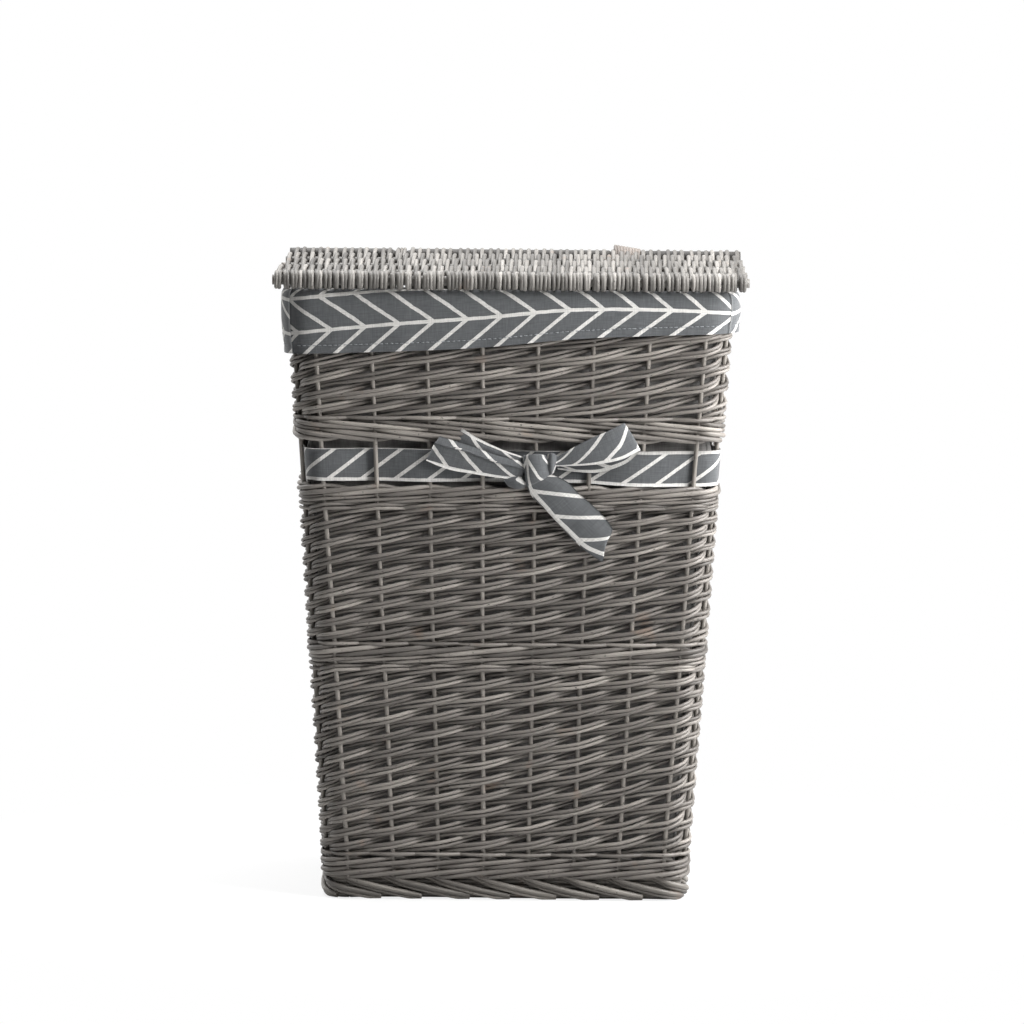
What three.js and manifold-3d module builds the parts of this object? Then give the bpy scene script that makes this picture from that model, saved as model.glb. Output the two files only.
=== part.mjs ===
// Woven laundry hamper, in millimetres, +Z up, front towards -Y, origin on the floor under its middle.
//
// A tapered wicker body stands on a foot border. Its stakes carry three fields of French randing, where
// every weaver climbs one row in each bay, with bands of three-rod wale between them and an open row that
// a ribbon runs through. A cotton liner hangs inside, and its turned-over cuff covers the rim. The lid is
// woven on five sticks, and its back stick turns in two willow loops bound round the top border.

import * as THREE from 'three';
import { mergeVertices } from 'three/addons/utils/BufferGeometryUtils.js';
import Module from 'manifold-3d';

const wasm = await Module();
wasm.setup();

// ---------- driving dimensions ----------

const CLEARANCE = 0.3; // between pieces that touch on the real hamper

// The line of the stakes, seen from above, is a rounded rectangle that widens from the floor to the rim.
const FOOT_LENGTH = 335;
const FOOT_DEPTH = 233;
const RIM_LENGTH = 411;
const RIM_DEPTH = 301;
const RIM_HEIGHT = 582;
const CORNER_RADIUS = 20;
const LONG_BAYS = 7; // spaces between stakes along the front and the back
const SHORT_BAYS = 5; // spaces between stakes along each end

const STAKE_DIAMETER = 4.5;
const WEAVER_THICKNESS = 3.2;
const WALE_THICKNESS = 3.8;
const ROW_RISE = 13.5; // how far a weaver climbs in one bay
const ROW_GAP = 0.6; // light between two weavers

// Heights of the bands, from the floor.
const FOOT_HEIGHT = 19;
const BOTTOM_WALE_HEIGHT = 22;
const LOWER_WEAVE_TOP = 228;
const MIDDLE_WALE_HEIGHT = 16;
const MIDDLE_WEAVE_TOP = 382;
const LOW_GAP_WALE_HEIGHT = 14;
const OPEN_ROW_HEIGHT = 44;
const HIGH_GAP_WALE_HEIGHT = 19;

const FOOT_RING_WIDTH = 9;
const FOOT_RING_HEIGHT = 8;
const FOOT_ROD_HEIGHT = 5;
const FOOT_ROD_THICKNESS = 3;
const FOOT_ROD_BAYS = 1.8; // how many bays a foot rod runs along

const BORDER_WIDTH = 12;
const BORDER_HEIGHT = 13;

const BASE_THICKNESS = 7;
const BASE_ROW_PITCH = 22;
const BASE_ROW_RELIEF = 1.6;

const FABRIC = 1.2;
const CUFF_HEIGHT = 52;

const LID_OVERHANG = 12; // past the cuff, all round
const LID_EDGE_STICK_DIAMETER = 9.4;
const LID_STICK_DIAMETER = 8.4;
const LID_INNER_STICKS = 3;
const LID_STICK_END = 5; // how far a stick shows past the last row
const LID_WEAVER_THICKNESS = 3.2;
const LID_ROW_PITCH = 6.5;
const LID_HINGE_SLOT = 14; // room without weaving round each loop

const LOOP_DIAMETER = 3.2;

const RIBBON_WIDTH = 29;
const RIBBON_THICKNESS = 0.8;

const KNOT_STAKE = 4; // the front stake, counted from 0 at the left, that the bow is tied at
const KNOT_WIDTH = 22;
const KNOT_HEIGHT = 26;
const KNOT_DEPTH = 16;
const LOOP_LENGTH = 92;
const LOOP_WIDTH = 28;
const LOOP_FULLNESS = 14;
const LOOP_TILT = 0.2; // radians up from level
const TAIL_LENGTH = 98;
const TAIL_WIDTH = 32;
const TAIL_TURN = 0.75; // radians from hanging straight down

// ---------- sizes that follow ----------

const SIDES = ['front', 'right', 'back', 'left'];
const SIDE_BAYS = [LONG_BAYS, SHORT_BAYS, LONG_BAYS, SHORT_BAYS];
const STAKES = 2 * (LONG_BAYS + SHORT_BAYS) + 4; // each corner is a bay too

const STAKE_RADIUS = STAKE_DIAMETER / 2;
const WEAVE_OFFSET = STAKE_RADIUS + CLEARANCE + WEAVER_THICKNESS / 2;
const WALE_OFFSET = STAKE_RADIUS + CLEARANCE + WALE_THICKNESS / 2;
const BUTT_MARGIN = 0.2; // how deep the butts sink into the ring that gathers them
const BUTT_RING_THICKNESS = WEAVER_THICKNESS + 2 * BUTT_MARGIN;
const WALL_REACH = Math.max(
  WALE_OFFSET + WALE_THICKNESS / 2,
  STAKE_RADIUS + CLEARANCE + BUTT_RING_THICKNESS,
  BORDER_WIDTH / 2,
);
const LINING_OFFSET = WALL_REACH + CLEARANCE;
const CUFF_OFFSET = LINING_OFFSET + FABRIC;

const BOTTOM_WALE_TOP = FOOT_HEIGHT + CLEARANCE + BOTTOM_WALE_HEIGHT;
const MIDDLE_WALE_TOP = LOWER_WEAVE_TOP + CLEARANCE + MIDDLE_WALE_HEIGHT;
const LOW_GAP_WALE_TOP = MIDDLE_WEAVE_TOP + CLEARANCE + LOW_GAP_WALE_HEIGHT;
const OPEN_ROW_TOP = LOW_GAP_WALE_TOP + OPEN_ROW_HEIGHT;
const HIGH_GAP_WALE_TOP = OPEN_ROW_TOP + HIGH_GAP_WALE_HEIGHT;
const RIBBON_MIDDLE = (LOW_GAP_WALE_TOP + OPEN_ROW_TOP) / 2;

const BORDER_LOW = RIM_HEIGHT - BORDER_HEIGHT;
const CUFF_FOLD_LOW = RIM_HEIGHT + CLEARANCE;
const CUFF_TOP = CUFF_FOLD_LOW + FABRIC;
const CUFF_LOW = CUFF_TOP - CUFF_HEIGHT;

const BASE_LOW = FOOT_HEIGHT + 2 * CLEARANCE;
const BASE_TOP = BASE_LOW + BASE_THICKNESS;
const LINING_LOW = BASE_TOP + CLEARANCE;

const LID_LENGTH = RIM_LENGTH + 2 * (CUFF_OFFSET + LID_OVERHANG);
const LID_DEPTH = RIM_DEPTH + 2 * (CUFF_OFFSET + LID_OVERHANG);
const LID_EDGE_OFFSET = LID_EDGE_STICK_DIAMETER / 2 + CLEARANCE + LID_WEAVER_THICKNESS / 2;
const LID_OFFSET = LID_STICK_DIAMETER / 2 + CLEARANCE + LID_WEAVER_THICKNESS / 2;
const WRAP_ANGLE = Math.PI / 4; // one step of a weaver round an edge stick
const WRAP_RADIUS = LID_EDGE_OFFSET / Math.cos(WRAP_ANGLE / 2);
const WRAP_REACH = LID_EDGE_OFFSET + LID_WEAVER_THICKNESS / 2;
const HINGE_Y = LID_DEPTH / 2 - WRAP_REACH;
const HINGE_Z = CUFF_TOP + CLEARANCE + WRAP_REACH;
const LID_STICK_SPACING = (2 * HINGE_Y) / (LID_INNER_STICKS + 1);

const LOOP_BAY = Math.floor(LONG_BAYS / 4); // the bay of the back that holds the first loop
const LOOP_X = (LONG_BAYS / 2 - LOOP_BAY - 0.5) * ((RIM_LENGTH - 2 * CORNER_RADIUS) / LONG_BAYS);
const LOOP_BORDER_RADIUS = Math.hypot(BORDER_WIDTH, BORDER_HEIGHT) / 2 + CLEARANCE + LOOP_DIAMETER / 2;
const LOOP_STICK_RADIUS = LID_EDGE_STICK_DIAMETER / 2 + CLEARANCE + LOOP_DIAMETER / 2;
const TOP_WEAVE_TOP = (BORDER_LOW + RIM_HEIGHT) / 2 - LOOP_BORDER_RADIUS - LOOP_DIAMETER / 2 - 2 * CLEARANCE;

// ---------- materials ----------

const WILLOW = { color: 0x6c6862, roughness: 0.72, metalness: 0 };
const WILLOW_STICK = { color: 0x78736c, roughness: 0.68, metalness: 0 };
const COTTON = { color: 0x53565b, roughness: 0.95, metalness: 0 };
const RIBBON = { color: 0x5a5d62, roughness: 0.92, metalness: 0 };

const hamper = new THREE.Group();
hamper.name = 'laundry_hamper';

function addPiece(name, geometry, finish, parent = hamper) {
  const mesh = new THREE.Mesh(geometry, new THREE.MeshStandardMaterial(finish));
  mesh.name = name;
  parent.add(mesh);
  return mesh;
}

// ---------- closed solids ----------

function signedVolume(positions, index) {
  const [a, b, c] = [new THREE.Vector3(), new THREE.Vector3(), new THREE.Vector3()];
  let volume = 0;
  for (let i = 0; i < index.length; i += 3) {
    a.fromArray(positions, 3 * index[i]);
    b.fromArray(positions, 3 * index[i + 1]);
    c.fromArray(positions, 3 * index[i + 2]);
    volume += a.dot(b.cross(c)) / 6;
  }
  return volume;
}

function solidGeometry(positions, index) {
  if (signedVolume(positions, index) < 0) index.reverse();
  const geometry = new THREE.BufferGeometry();
  geometry.setAttribute('position', new THREE.Float32BufferAttribute(positions, 3));
  geometry.setIndex(index);
  geometry.computeVertexNormals();
  return geometry;
}

// A skin over sections of the same number of points. An open one is capped with the given faces.
function loft(sections, caps = null) {
  const count = sections[0].length;
  const spans = caps ? sections.length - 1 : sections.length;
  const index = [];
  for (let i = 0; i < spans; i += 1) {
    const here = i * count;
    const next = ((i + 1) % sections.length) * count;
    for (let j = 0; j < count; j += 1) {
      const k = (j + 1) % count;
      index.push(here + j, next + j, next + k, here + j, next + k, here + k);
    }
  }
  const end = spans * count;
  for (const [p, q, r] of caps ?? []) index.push(p, q, r, end + r, end + q, end + p);
  return solidGeometry(sections.flat().flatMap((point) => point.toArray()), index);
}

function toSolid(geometry) {
  const bare = geometry.clone();
  bare.deleteAttribute('normal');
  bare.deleteAttribute('uv');
  const merged = mergeVertices(bare, 1e-4);
  const vertProperties = new Float32Array(merged.attributes.position.array);
  const triVerts = new Uint32Array(merged.index.array);
  return new wasm.Manifold(new wasm.Mesh({ numProp: 3, vertProperties, triVerts }));
}

function toGeometry(solid) {
  const mesh = solid.getMesh();
  return solidGeometry(Array.from(mesh.vertProperties), Array.from(mesh.triVerts));
}

function joined(geometries) {
  return toGeometry(geometries.map(toSolid).reduce((sum, solid) => sum.add(solid)));
}

function evenly(from, to, count) {
  return Array.from({ length: count }, (_, i) => from + ((to - from) * i) / (count - 1));
}

// ---------- the wall ----------

// A place on the wall is counted in bays, anticlockwise from the first stake of the front, so that whole
// numbers are stakes and the last bay of each side is its corner.
function wallPoint(bay, height, offset) {
  let rest = ((bay % STAKES) + STAKES) % STAKES;
  let side = 0;
  while (rest >= SIDE_BAYS[side] + 1) {
    rest -= SIDE_BAYS[side] + 1;
    side += 1;
  }
  const share = height / RIM_HEIGHT;
  const halfLength = THREE.MathUtils.lerp(FOOT_LENGTH, RIM_LENGTH, share) / 2;
  const halfDepth = THREE.MathUtils.lerp(FOOT_DEPTH, RIM_DEPTH, share) / 2;
  const [half, reach] = side % 2 ? [halfDepth, halfLength] : [halfLength, halfDepth];
  const straight = half - CORNER_RADIUS;
  const turn = Math.max(0, rest - SIDE_BAYS[side]) * (Math.PI / 2);
  const run = straight * ((2 * Math.min(rest, SIDE_BAYS[side])) / SIDE_BAYS[side] - 1);
  const radius = CORNER_RADIUS + offset;
  return new THREE.Vector3(
    run + radius * Math.sin(turn),
    -(reach - CORNER_RADIUS) - radius * Math.cos(turn),
    height,
  ).applyAxisAngle(new THREE.Vector3(0, 0, 1), (side * Math.PI) / 2);
}

function firstBay(side) {
  return SIDE_BAYS.slice(0, side).reduce((sum, bays) => sum + bays + 1, 0);
}

function inCorner(bay) {
  const place = ((Math.floor(bay) % STAKES) + STAKES) % STAKES;
  return SIDES.some((_, side) => place === firstBay(side) + SIDE_BAYS[side]);
}

// The stations of a closed ring: straight along each side, and three steps round each corner.
const CORNER_STEPS = 3;
const RING_BAYS = SIDES.flatMap((_, side) => {
  const first = firstBay(side);
  const last = first + SIDE_BAYS[side];
  const corner = Array.from({ length: CORNER_STEPS }, (_, step) => last + step / CORNER_STEPS);
  return [first, ...corner];
});

// A profile of [offset, height] points carried along the wall.
function wallSweep(bays, profile, closed) {
  const sections = bays.map((bay) => profile.map(([offset, height]) => wallPoint(bay, height, offset)));
  if (closed) return loft(sections);
  const outline = profile.map(([offset, height]) => new THREE.Vector2(offset, height));
  return loft(sections, THREE.ShapeUtils.triangulateShape(outline, []));
}

function bandProfile(inner, outer, low, high) {
  return [
    [inner, low],
    [outer, low],
    [outer, high],
    [inner, high],
  ];
}

// A rod that goes from stake to stake: a ridged strip, flat towards the inside, whose offset and height
// at each station of its route are given.
const ROD_CAPS = [[0, 1, 2]];

function rod(route, height, thickness) {
  const sections = route.map(([bay, middle, offset]) => [
    wallPoint(bay, middle, offset + thickness / 2),
    wallPoint(bay, middle + height / 2, offset - thickness / 2),
    wallPoint(bay, middle - height / 2, offset - thickness / 2),
  ]);
  return loft(sections, ROD_CAPS);
}

// The route of a rod over whole bays: sideAt gives 1 in front of a stake and -1 behind it. Round a
// corner the rod crosses from one side to the other along a cosine.
function wovenRoute(firstStake, bays, offset, sideAt, heightAt) {
  const route = [];
  for (let i = 0; i < bays; i += 1) {
    const bay = firstStake + i;
    const steps = inCorner(bay) ? CORNER_STEPS : 1;
    for (let step = 0; step < steps; step += 1) {
      const share = step / steps;
      const blend = (1 - Math.cos(Math.PI * share)) / 2;
      const side = THREE.MathUtils.lerp(sideAt(i), sideAt(i + 1), blend);
      route.push([bay + share, heightAt(i + share), side * offset]);
    }
  }
  route.push([firstStake + bays, heightAt(bays), sideAt(bays) * offset]);
  return route;
}

// ---------- stakes ----------

function stake(bay) {
  const foot = wallPoint(bay, FOOT_HEIGHT + CLEARANCE, 0);
  const head = wallPoint(bay, BORDER_LOW - CLEARANCE, 0);
  const length = foot.distanceTo(head);
  const geometry = new THREE.CylinderGeometry(STAKE_RADIUS, STAKE_RADIUS, length, 6);
  const lean = head.clone().sub(foot).normalize();
  return { geometry, middle: foot.add(head).multiplyScalar(0.5), lean };
}

SIDES.forEach((side, number) => {
  for (let i = 0; i <= SIDE_BAYS[number]; i += 1) {
    const { geometry, middle, lean } = stake(firstBay(number) + i);
    const mesh = addPiece(`stake_${side}_${i + 1}`, geometry, WILLOW);
    mesh.position.copy(middle);
    mesh.quaternion.setFromUnitVectors(new THREE.Vector3(0, 1, 0), lean);
  }
});

// ---------- French randing ----------

// One weaver starts at every stake and climbs one row a bay, in front of one stake and behind the next.
// The butts of all the weavers lie in a ring inside the first row.
function randing(low, high) {
  const rows = Math.max(2, Math.round((high - low) / ROW_RISE) - 1);
  const rise = (high - low - 2 * BUTT_MARGIN + ROW_GAP) / (rows + 1);
  const height = rise - ROW_GAP;
  const start = low + BUTT_MARGIN + height / 2;
  const buttSide = -(WEAVE_OFFSET + BUTT_MARGIN) / WEAVE_OFFSET;
  const sideAt = (stroke) => (stroke === 0 ? buttSide : stroke % 2 ? 1 : -1);
  const weavers = Array.from({ length: STAKES }, (_, first) =>
    rod(
      wovenRoute(first, rows, WEAVE_OFFSET, sideAt, (stroke) => start + stroke * rise),
      height,
      WEAVER_THICKNESS,
    ),
  );
  const ringOuter = -(STAKE_RADIUS + CLEARANCE);
  const ring = bandProfile(ringOuter - BUTT_RING_THICKNESS, ringOuter, low, low + height + 2 * BUTT_MARGIN);
  return joined([wallSweep(RING_BAYS, ring, true), ...weavers]);
}

addPiece('lower_weave', randing(BOTTOM_WALE_TOP + CLEARANCE, LOWER_WEAVE_TOP), WILLOW);
addPiece('middle_weave', randing(MIDDLE_WALE_TOP + CLEARANCE, MIDDLE_WEAVE_TOP), WILLOW);
addPiece('top_weave', randing(HIGH_GAP_WALE_TOP + CLEARANCE, TOP_WEAVE_TOP), WILLOW);

// ---------- three-rod wales ----------

// One rod goes round three times, in front of two stakes and behind the third. The count of stakes isn't
// a multiple of three, so each round is one stake ahead of the round below it.
const WALE_ROUNDS = 3;

function wale(low, high) {
  const rise = (high - low + ROW_GAP) / (WALE_ROUNDS + 1);
  const height = rise - ROW_GAP;
  const start = low + height / 2;
  const sideAt = (stroke) => (stroke % 3 === 2 ? -1 : 1);
  const heightAt = (stroke) => start + (stroke / STAKES) * rise;
  return rod(wovenRoute(0, WALE_ROUNDS * STAKES, WALE_OFFSET, sideAt, heightAt), height, WALE_THICKNESS);
}

addPiece('bottom_wale', wale(FOOT_HEIGHT + CLEARANCE, BOTTOM_WALE_TOP), WILLOW);
addPiece('middle_wale', wale(LOWER_WEAVE_TOP + CLEARANCE, MIDDLE_WALE_TOP), WILLOW);
addPiece('gap_wale_low', wale(MIDDLE_WEAVE_TOP + CLEARANCE, LOW_GAP_WALE_TOP), WILLOW);
addPiece('gap_wale_high', wale(OPEN_ROW_TOP, HIGH_GAP_WALE_TOP), WILLOW);

// ---------- borders and base ----------

// The foot border: a flat ring on the floor, a stub up to every stake, and a rod that leaves each stub
// near its top, passes in front of the next one and comes down to the ring.
function footBorder() {
  const half = FOOT_RING_WIDTH / 2;
  const ring = wallSweep(RING_BAYS, bandProfile(-half, half, 0, FOOT_RING_HEIGHT), true);
  const pieces = [ring];
  const leave = 0.35; // bays to the point where a rod is clear of its stub
  const high = FOOT_HEIGHT - FOOT_ROD_HEIGHT;
  const outer = STAKE_RADIUS + FOOT_ROD_THICKNESS / 2 + 2 * CLEARANCE;
  const slope = (high - FOOT_ROD_HEIGHT) / FOOT_ROD_BAYS;
  for (let first = 0; first < STAKES; first += 1) {
    const low = wallPoint(first, FOOT_RING_HEIGHT / 2, 0);
    const top = wallPoint(first, FOOT_HEIGHT, 0);
    const stub = new THREE.CylinderGeometry(STAKE_RADIUS, STAKE_RADIUS, low.distanceTo(top), 5);
    stub.rotateX(Math.PI / 2);
    stub.translate(...low.add(top).multiplyScalar(0.5).toArray());
    const end = first + FOOT_ROD_BAYS;
    const corners = [];
    for (let bay = first; bay < end; bay += 1) if (inCorner(bay)) corners.push(bay);
    const turns = corners.flatMap((bay) => evenly(bay, bay + 1, CORNER_STEPS + 1));
    const inside = [...turns.filter((bay) => bay > first + leave && bay < end), first, first + leave, end];
    inside.sort((a, b) => a - b);
    const route = inside.map((bay) => [
      bay,
      high - slope * (bay - first),
      Math.min(1, (bay - first) / leave) * outer,
    ]);
    pieces.push(stub, rod(route, FOOT_ROD_HEIGHT, FOOT_ROD_THICKNESS));
  }
  return joined(pieces);
}

addPiece('foot_border', footBorder(), WILLOW);

// The top border is the rolled edge that the stakes end in.
function topBorder() {
  const half = BORDER_WIDTH / 2;
  const bevel = BORDER_HEIGHT / 4;
  const profile = [
    [-half + bevel, BORDER_LOW],
    [half - bevel, BORDER_LOW],
    [half, BORDER_LOW + bevel],
    [half, RIM_HEIGHT - bevel],
    [half - bevel, RIM_HEIGHT],
    [-half + bevel, RIM_HEIGHT],
    [-half, RIM_HEIGHT - bevel],
    [-half, BORDER_LOW + bevel],
  ];
  return wallSweep(RING_BAYS, profile, true);
}

addPiece('top_border', topBorder(), WILLOW);

// A flat plate with the outline of the wall at a height, so far inside it.
function wallPlate(outlineHeight, inset, low, thickness) {
  const outline = RING_BAYS.map((bay) => wallPoint(bay, outlineHeight, -inset));
  const shape = new THREE.Shape(outline.map((point) => new THREE.Vector2(point.x, point.y)));
  const plate = new THREE.ExtrudeGeometry(shape, { depth: thickness, bevelEnabled: false });
  return plate.translate(0, 0, low);
}

// The base is woven flat, in rows that run from front to back.
function wovenBase() {
  const rows = Math.round(FOOT_LENGTH / BASE_ROW_PITCH);
  const pitch = FOOT_LENGTH / rows;
  const ridge = (height) =>
    Array.from({ length: 2 * rows + 1 }, (_, i) => {
      const crown = i % 2 ? BASE_ROW_RELIEF : 0;
      return new THREE.Vector2(-FOOT_LENGTH / 2 + (i * pitch) / 2, height - Math.sign(height) * crown);
    });
  const profile = [...ridge(-BASE_THICKNESS / 2), ...ridge(BASE_THICKNESS / 2).reverse()];
  const mat = new THREE.ExtrudeGeometry(new THREE.Shape(profile), { depth: FOOT_DEPTH, bevelEnabled: false });
  mat.translate(0, 0, -FOOT_DEPTH / 2);
  mat.rotateX(Math.PI / 2);
  mat.translate(0, 0, BASE_LOW + BASE_THICKNESS / 2);
  const outline = wallPlate(BASE_LOW, LINING_OFFSET, BASE_LOW - 1, BASE_THICKNESS + 2);
  return toGeometry(toSolid(mat).intersect(toSolid(outline)));
}

addPiece('base_weave', wovenBase(), WILLOW);

// ---------- lid ----------

const lid = new THREE.Group();
lid.name = 'lid';
lid.position.set(0, HINGE_Y, HINGE_Z); // on the hinge's axis
hamper.add(lid);

for (let i = 0; i <= LID_INNER_STICKS + 1; i += 1) {
  const edge = i === 0 || i === LID_INNER_STICKS + 1;
  const radius = (edge ? LID_EDGE_STICK_DIAMETER : LID_STICK_DIAMETER) / 2;
  const name = ['lid_stick_back', 'lid_stick_inner', 'lid_stick_front'][edge ? (i && 2) : 1];
  const stick = new THREE.CylinderGeometry(radius, radius, LID_LENGTH, 10);
  stick.rotateZ(Math.PI / 2);
  const mesh = addPiece(edge ? name : `${name}_${i}`, stick, WILLOW_STICK, lid);
  mesh.position.y = -i * LID_STICK_SPACING;
}

// Where the rows of the lid cross its back stick. They leave a slot at each hinge loop, and the weaver
// passes each slot at the front stick, so an odd count of rows comes before the first slot and an even
// count between the two.
function lidRows() {
  const edge = LID_LENGTH / 2 - LID_STICK_END - LID_ROW_PITCH / 2;
  const slot = (LID_HINGE_SLOT + LID_ROW_PITCH) / 2;
  const outer = edge - LOOP_X - slot;
  const inner = 2 * (LOOP_X - slot);
  const outerCount = 2 * Math.max(1, Math.round(outer / LID_ROW_PITCH / 2)) + 1;
  const innerCount = 2 * Math.max(1, Math.round((inner / LID_ROW_PITCH + 1) / 2));
  const back = [
    ...evenly(-edge, -LOOP_X - slot, outerCount),
    ...evenly(-LOOP_X + slot, LOOP_X - slot, innerCount),
    ...evenly(LOOP_X + slot, edge, outerCount),
  ];
  const tightest = Math.min(outer / (outerCount - 1), inner / (innerCount - 1));
  return { back, front: evenly(-edge, edge, back.length), width: tightest - ROW_GAP };
}

// One weaver goes to and fro between the back stick and the front stick, over and under the sticks
// between, and round each edge stick as it turns back.
function lidWeave() {
  const { back, front, width } = lidRows();
  const last = LID_INNER_STICKS + 1;
  const path = [];
  back.forEach((backX, row) => {
    const forward = row % 2 === 0;
    const side = forward ? 1 : -1;
    const xAt = (y) => THREE.MathUtils.lerp(backX, front[row], Math.min(1, -y / LID_STICK_SPACING));
    const add = (y, z) => path.push(new THREE.Vector3(xAt(y), y, z));
    // the quarter of an edge stick that the row climbs on or off, seen along +X
    const wrap = (centre, outward, from, to) => {
      const steps = 2;
      for (let i = 0; i <= steps; i += 1) {
        const angle = THREE.MathUtils.lerp(from, to, i / steps) * (WRAP_ANGLE / 2);
        add(centre + outward * WRAP_RADIUS * Math.cos(angle), side * WRAP_RADIUS * Math.sin(angle));
      }
    };
    const order = Array.from({ length: LID_INNER_STICKS }, (_, i) => (forward ? i + 1 : last - 1 - i));
    const [start, end] = forward ? [0, last] : [last, 0];
    wrap(-start * LID_STICK_SPACING, forward ? 1 : -1, 1, 5);
    for (const stick of order) {
      const over = stick % 2 ? -side : side;
      add(-stick * LID_STICK_SPACING, over * LID_OFFSET);
    }
    wrap(-end * LID_STICK_SPACING, forward ? -1 : 1, 5, 1);
  });
  return strip(path, width, LID_WEAVER_THICKNESS);
}

// A ridged strip along a path that runs to and fro across X, with its width along X.
function strip(path, width, thickness) {
  const across = new THREE.Vector3(1, 0, 0);
  const sections = path.map((point, i) => {
    const before = path[Math.max(0, i - 1)];
    const after = path[Math.min(path.length - 1, i + 1)];
    const into = point.clone().sub(before).setX(0).normalize();
    const out = after.clone().sub(point).setX(0).normalize();
    const along = into.clone().add(out).normalize();
    const miter = 1 / Math.max(0.5, along.dot(into.lengthSq() ? into : out));
    const up = new THREE.Vector3().crossVectors(across, along).multiplyScalar((thickness / 2) * miter);
    return [
      point.clone().add(up),
      point.clone().sub(up).addScaledVector(across, width / 2),
      point.clone().sub(up).addScaledVector(across, -width / 2),
    ];
  });
  return loft(sections, ROD_CAPS);
}

addPiece('lid_weave', lidWeave(), WILLOW, lid);

// ---------- hinge loops ----------

// A willow loop in the plane across the hinge, bound round the top border and the lid's back stick.
function hingeLoop() {
  const border = new THREE.Vector2(RIM_DEPTH / 2, (BORDER_LOW + RIM_HEIGHT) / 2);
  const stick = new THREE.Vector2(HINGE_Y, HINGE_Z);
  const line = stick.clone().sub(border);
  const facing = line.angle();
  const spread = Math.acos((LOOP_BORDER_RADIUS - LOOP_STICK_RADIUS) / line.length());
  const arc = (centre, radius, from, to, steps) =>
    evenly(from, to, steps + 1).map((angle) => {
      const reach = radius / Math.cos((to - from) / steps / 2);
      return new THREE.Vector3(0, centre.x + reach * Math.cos(angle), centre.y + reach * Math.sin(angle));
    });
  const path = [
    ...arc(border, LOOP_BORDER_RADIUS, facing + spread, facing + 2 * Math.PI - spread, 6),
    ...arc(stick, LOOP_STICK_RADIUS, facing - spread, facing + spread, 5),
  ];
  const sides = 6;
  const sections = path.map((point, i) => {
    const before = path[(i + path.length - 1) % path.length];
    const after = path[(i + 1) % path.length];
    const along = after.clone().sub(before).normalize();
    const across = new THREE.Vector3(1, 0, 0);
    const out = new THREE.Vector3().crossVectors(along, across);
    return Array.from({ length: sides }, (_, j) => {
      const angle = (2 * Math.PI * j) / sides;
      return point
        .clone()
        .addScaledVector(across, (LOOP_DIAMETER / 2) * Math.cos(angle))
        .addScaledVector(out, (LOOP_DIAMETER / 2) * Math.sin(angle));
    });
  });
  return loft(sections);
}

for (const [name, x] of [['hinge_loop_left', -LOOP_X], ['hinge_loop_right', LOOP_X]]) {
  addPiece(name, hingeLoop(), WILLOW_STICK).position.x = x;
}

// ---------- liner and cuff ----------

// Four panels are sewn together at the corners. Each runs from the middle of one corner to the middle
// of the next.
const SEAM_GAP = 0.01; // in bays

function panelBays(side) {
  const first = firstBay(side);
  const last = first + SIDE_BAYS[side];
  return [first - 0.5 + SEAM_GAP, first - 0.25, first, last, last + 0.25, last + 0.5 - SEAM_GAP];
}

// The back panels are slit where the hinge loops pass through the cloth.
function slitForLoops(geometry) {
  const low = TOP_WEAVE_TOP - CLEARANCE;
  const height = CUFF_TOP + 1 - low;
  const depth = 4 * CUFF_OFFSET;
  return toGeometry(
    [-LOOP_X, LOOP_X].reduce((panel, x) => {
      const slit = new THREE.BoxGeometry(3 * LOOP_DIAMETER, depth, height);
      slit.translate(x, RIM_DEPTH / 2, low + height / 2);
      return panel.subtract(toSolid(slit));
    }, toSolid(geometry)),
  );
}

SIDES.forEach((side, number) => {
  const bays = panelBays(number);
  const wall = bandProfile(-CUFF_OFFSET, -LINING_OFFSET, LINING_LOW, CUFF_FOLD_LOW - CLEARANCE);
  const cuff = [
    [LINING_OFFSET, CUFF_LOW],
    [CUFF_OFFSET, CUFF_LOW],
    [CUFF_OFFSET, CUFF_TOP],
    [-CUFF_OFFSET, CUFF_TOP],
    [-CUFF_OFFSET, CUFF_FOLD_LOW],
    [LINING_OFFSET, CUFF_FOLD_LOW],
  ];
  const finish = side === 'back' ? slitForLoops : (geometry) => geometry;
  addPiece(`liner_${side}`, finish(wallSweep(bays, wall, false)), COTTON);
  addPiece(`cuff_${side}`, finish(wallSweep(bays, cuff, false)), COTTON);
});

addPiece('liner_base', wallPlate(LINING_LOW, CUFF_OFFSET + CLEARANCE, LINING_LOW, FABRIC), COTTON);

// ---------- ribbon and bow ----------

// The ribbon goes round the open row, in front of every second stake and behind the others.
function ribbon() {
  const offset = STAKE_RADIUS + CLEARANCE + RIBBON_THICKNESS / 2;
  const route = wovenRoute(0, STAKES, offset, (stroke) => (stroke % 2 ? -1 : 1), () => RIBBON_MIDDLE);
  const sections = route.slice(0, -1).map(([bay, middle, out]) =>
    bandProfile(
      out - RIBBON_THICKNESS / 2,
      out + RIBBON_THICKNESS / 2,
      middle - RIBBON_WIDTH / 2,
      middle + RIBBON_WIDTH / 2,
    ).map(([reach, height]) => wallPoint(bay, height, reach)),
  );
  return loft(sections);
}

addPiece('ribbon', ribbon(), RIBBON);

// The bow stands in front of the wales, in a group that leans with the front wall.
const bow = new THREE.Group();
bow.name = 'bow';
bow.position.copy(wallPoint(KNOT_STAKE, RIBBON_MIDDLE, WALL_REACH + CLEARANCE));
bow.rotation.x = Math.atan((RIM_DEPTH - FOOT_DEPTH) / 2 / RIM_HEIGHT);
hamper.add(bow);

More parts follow.
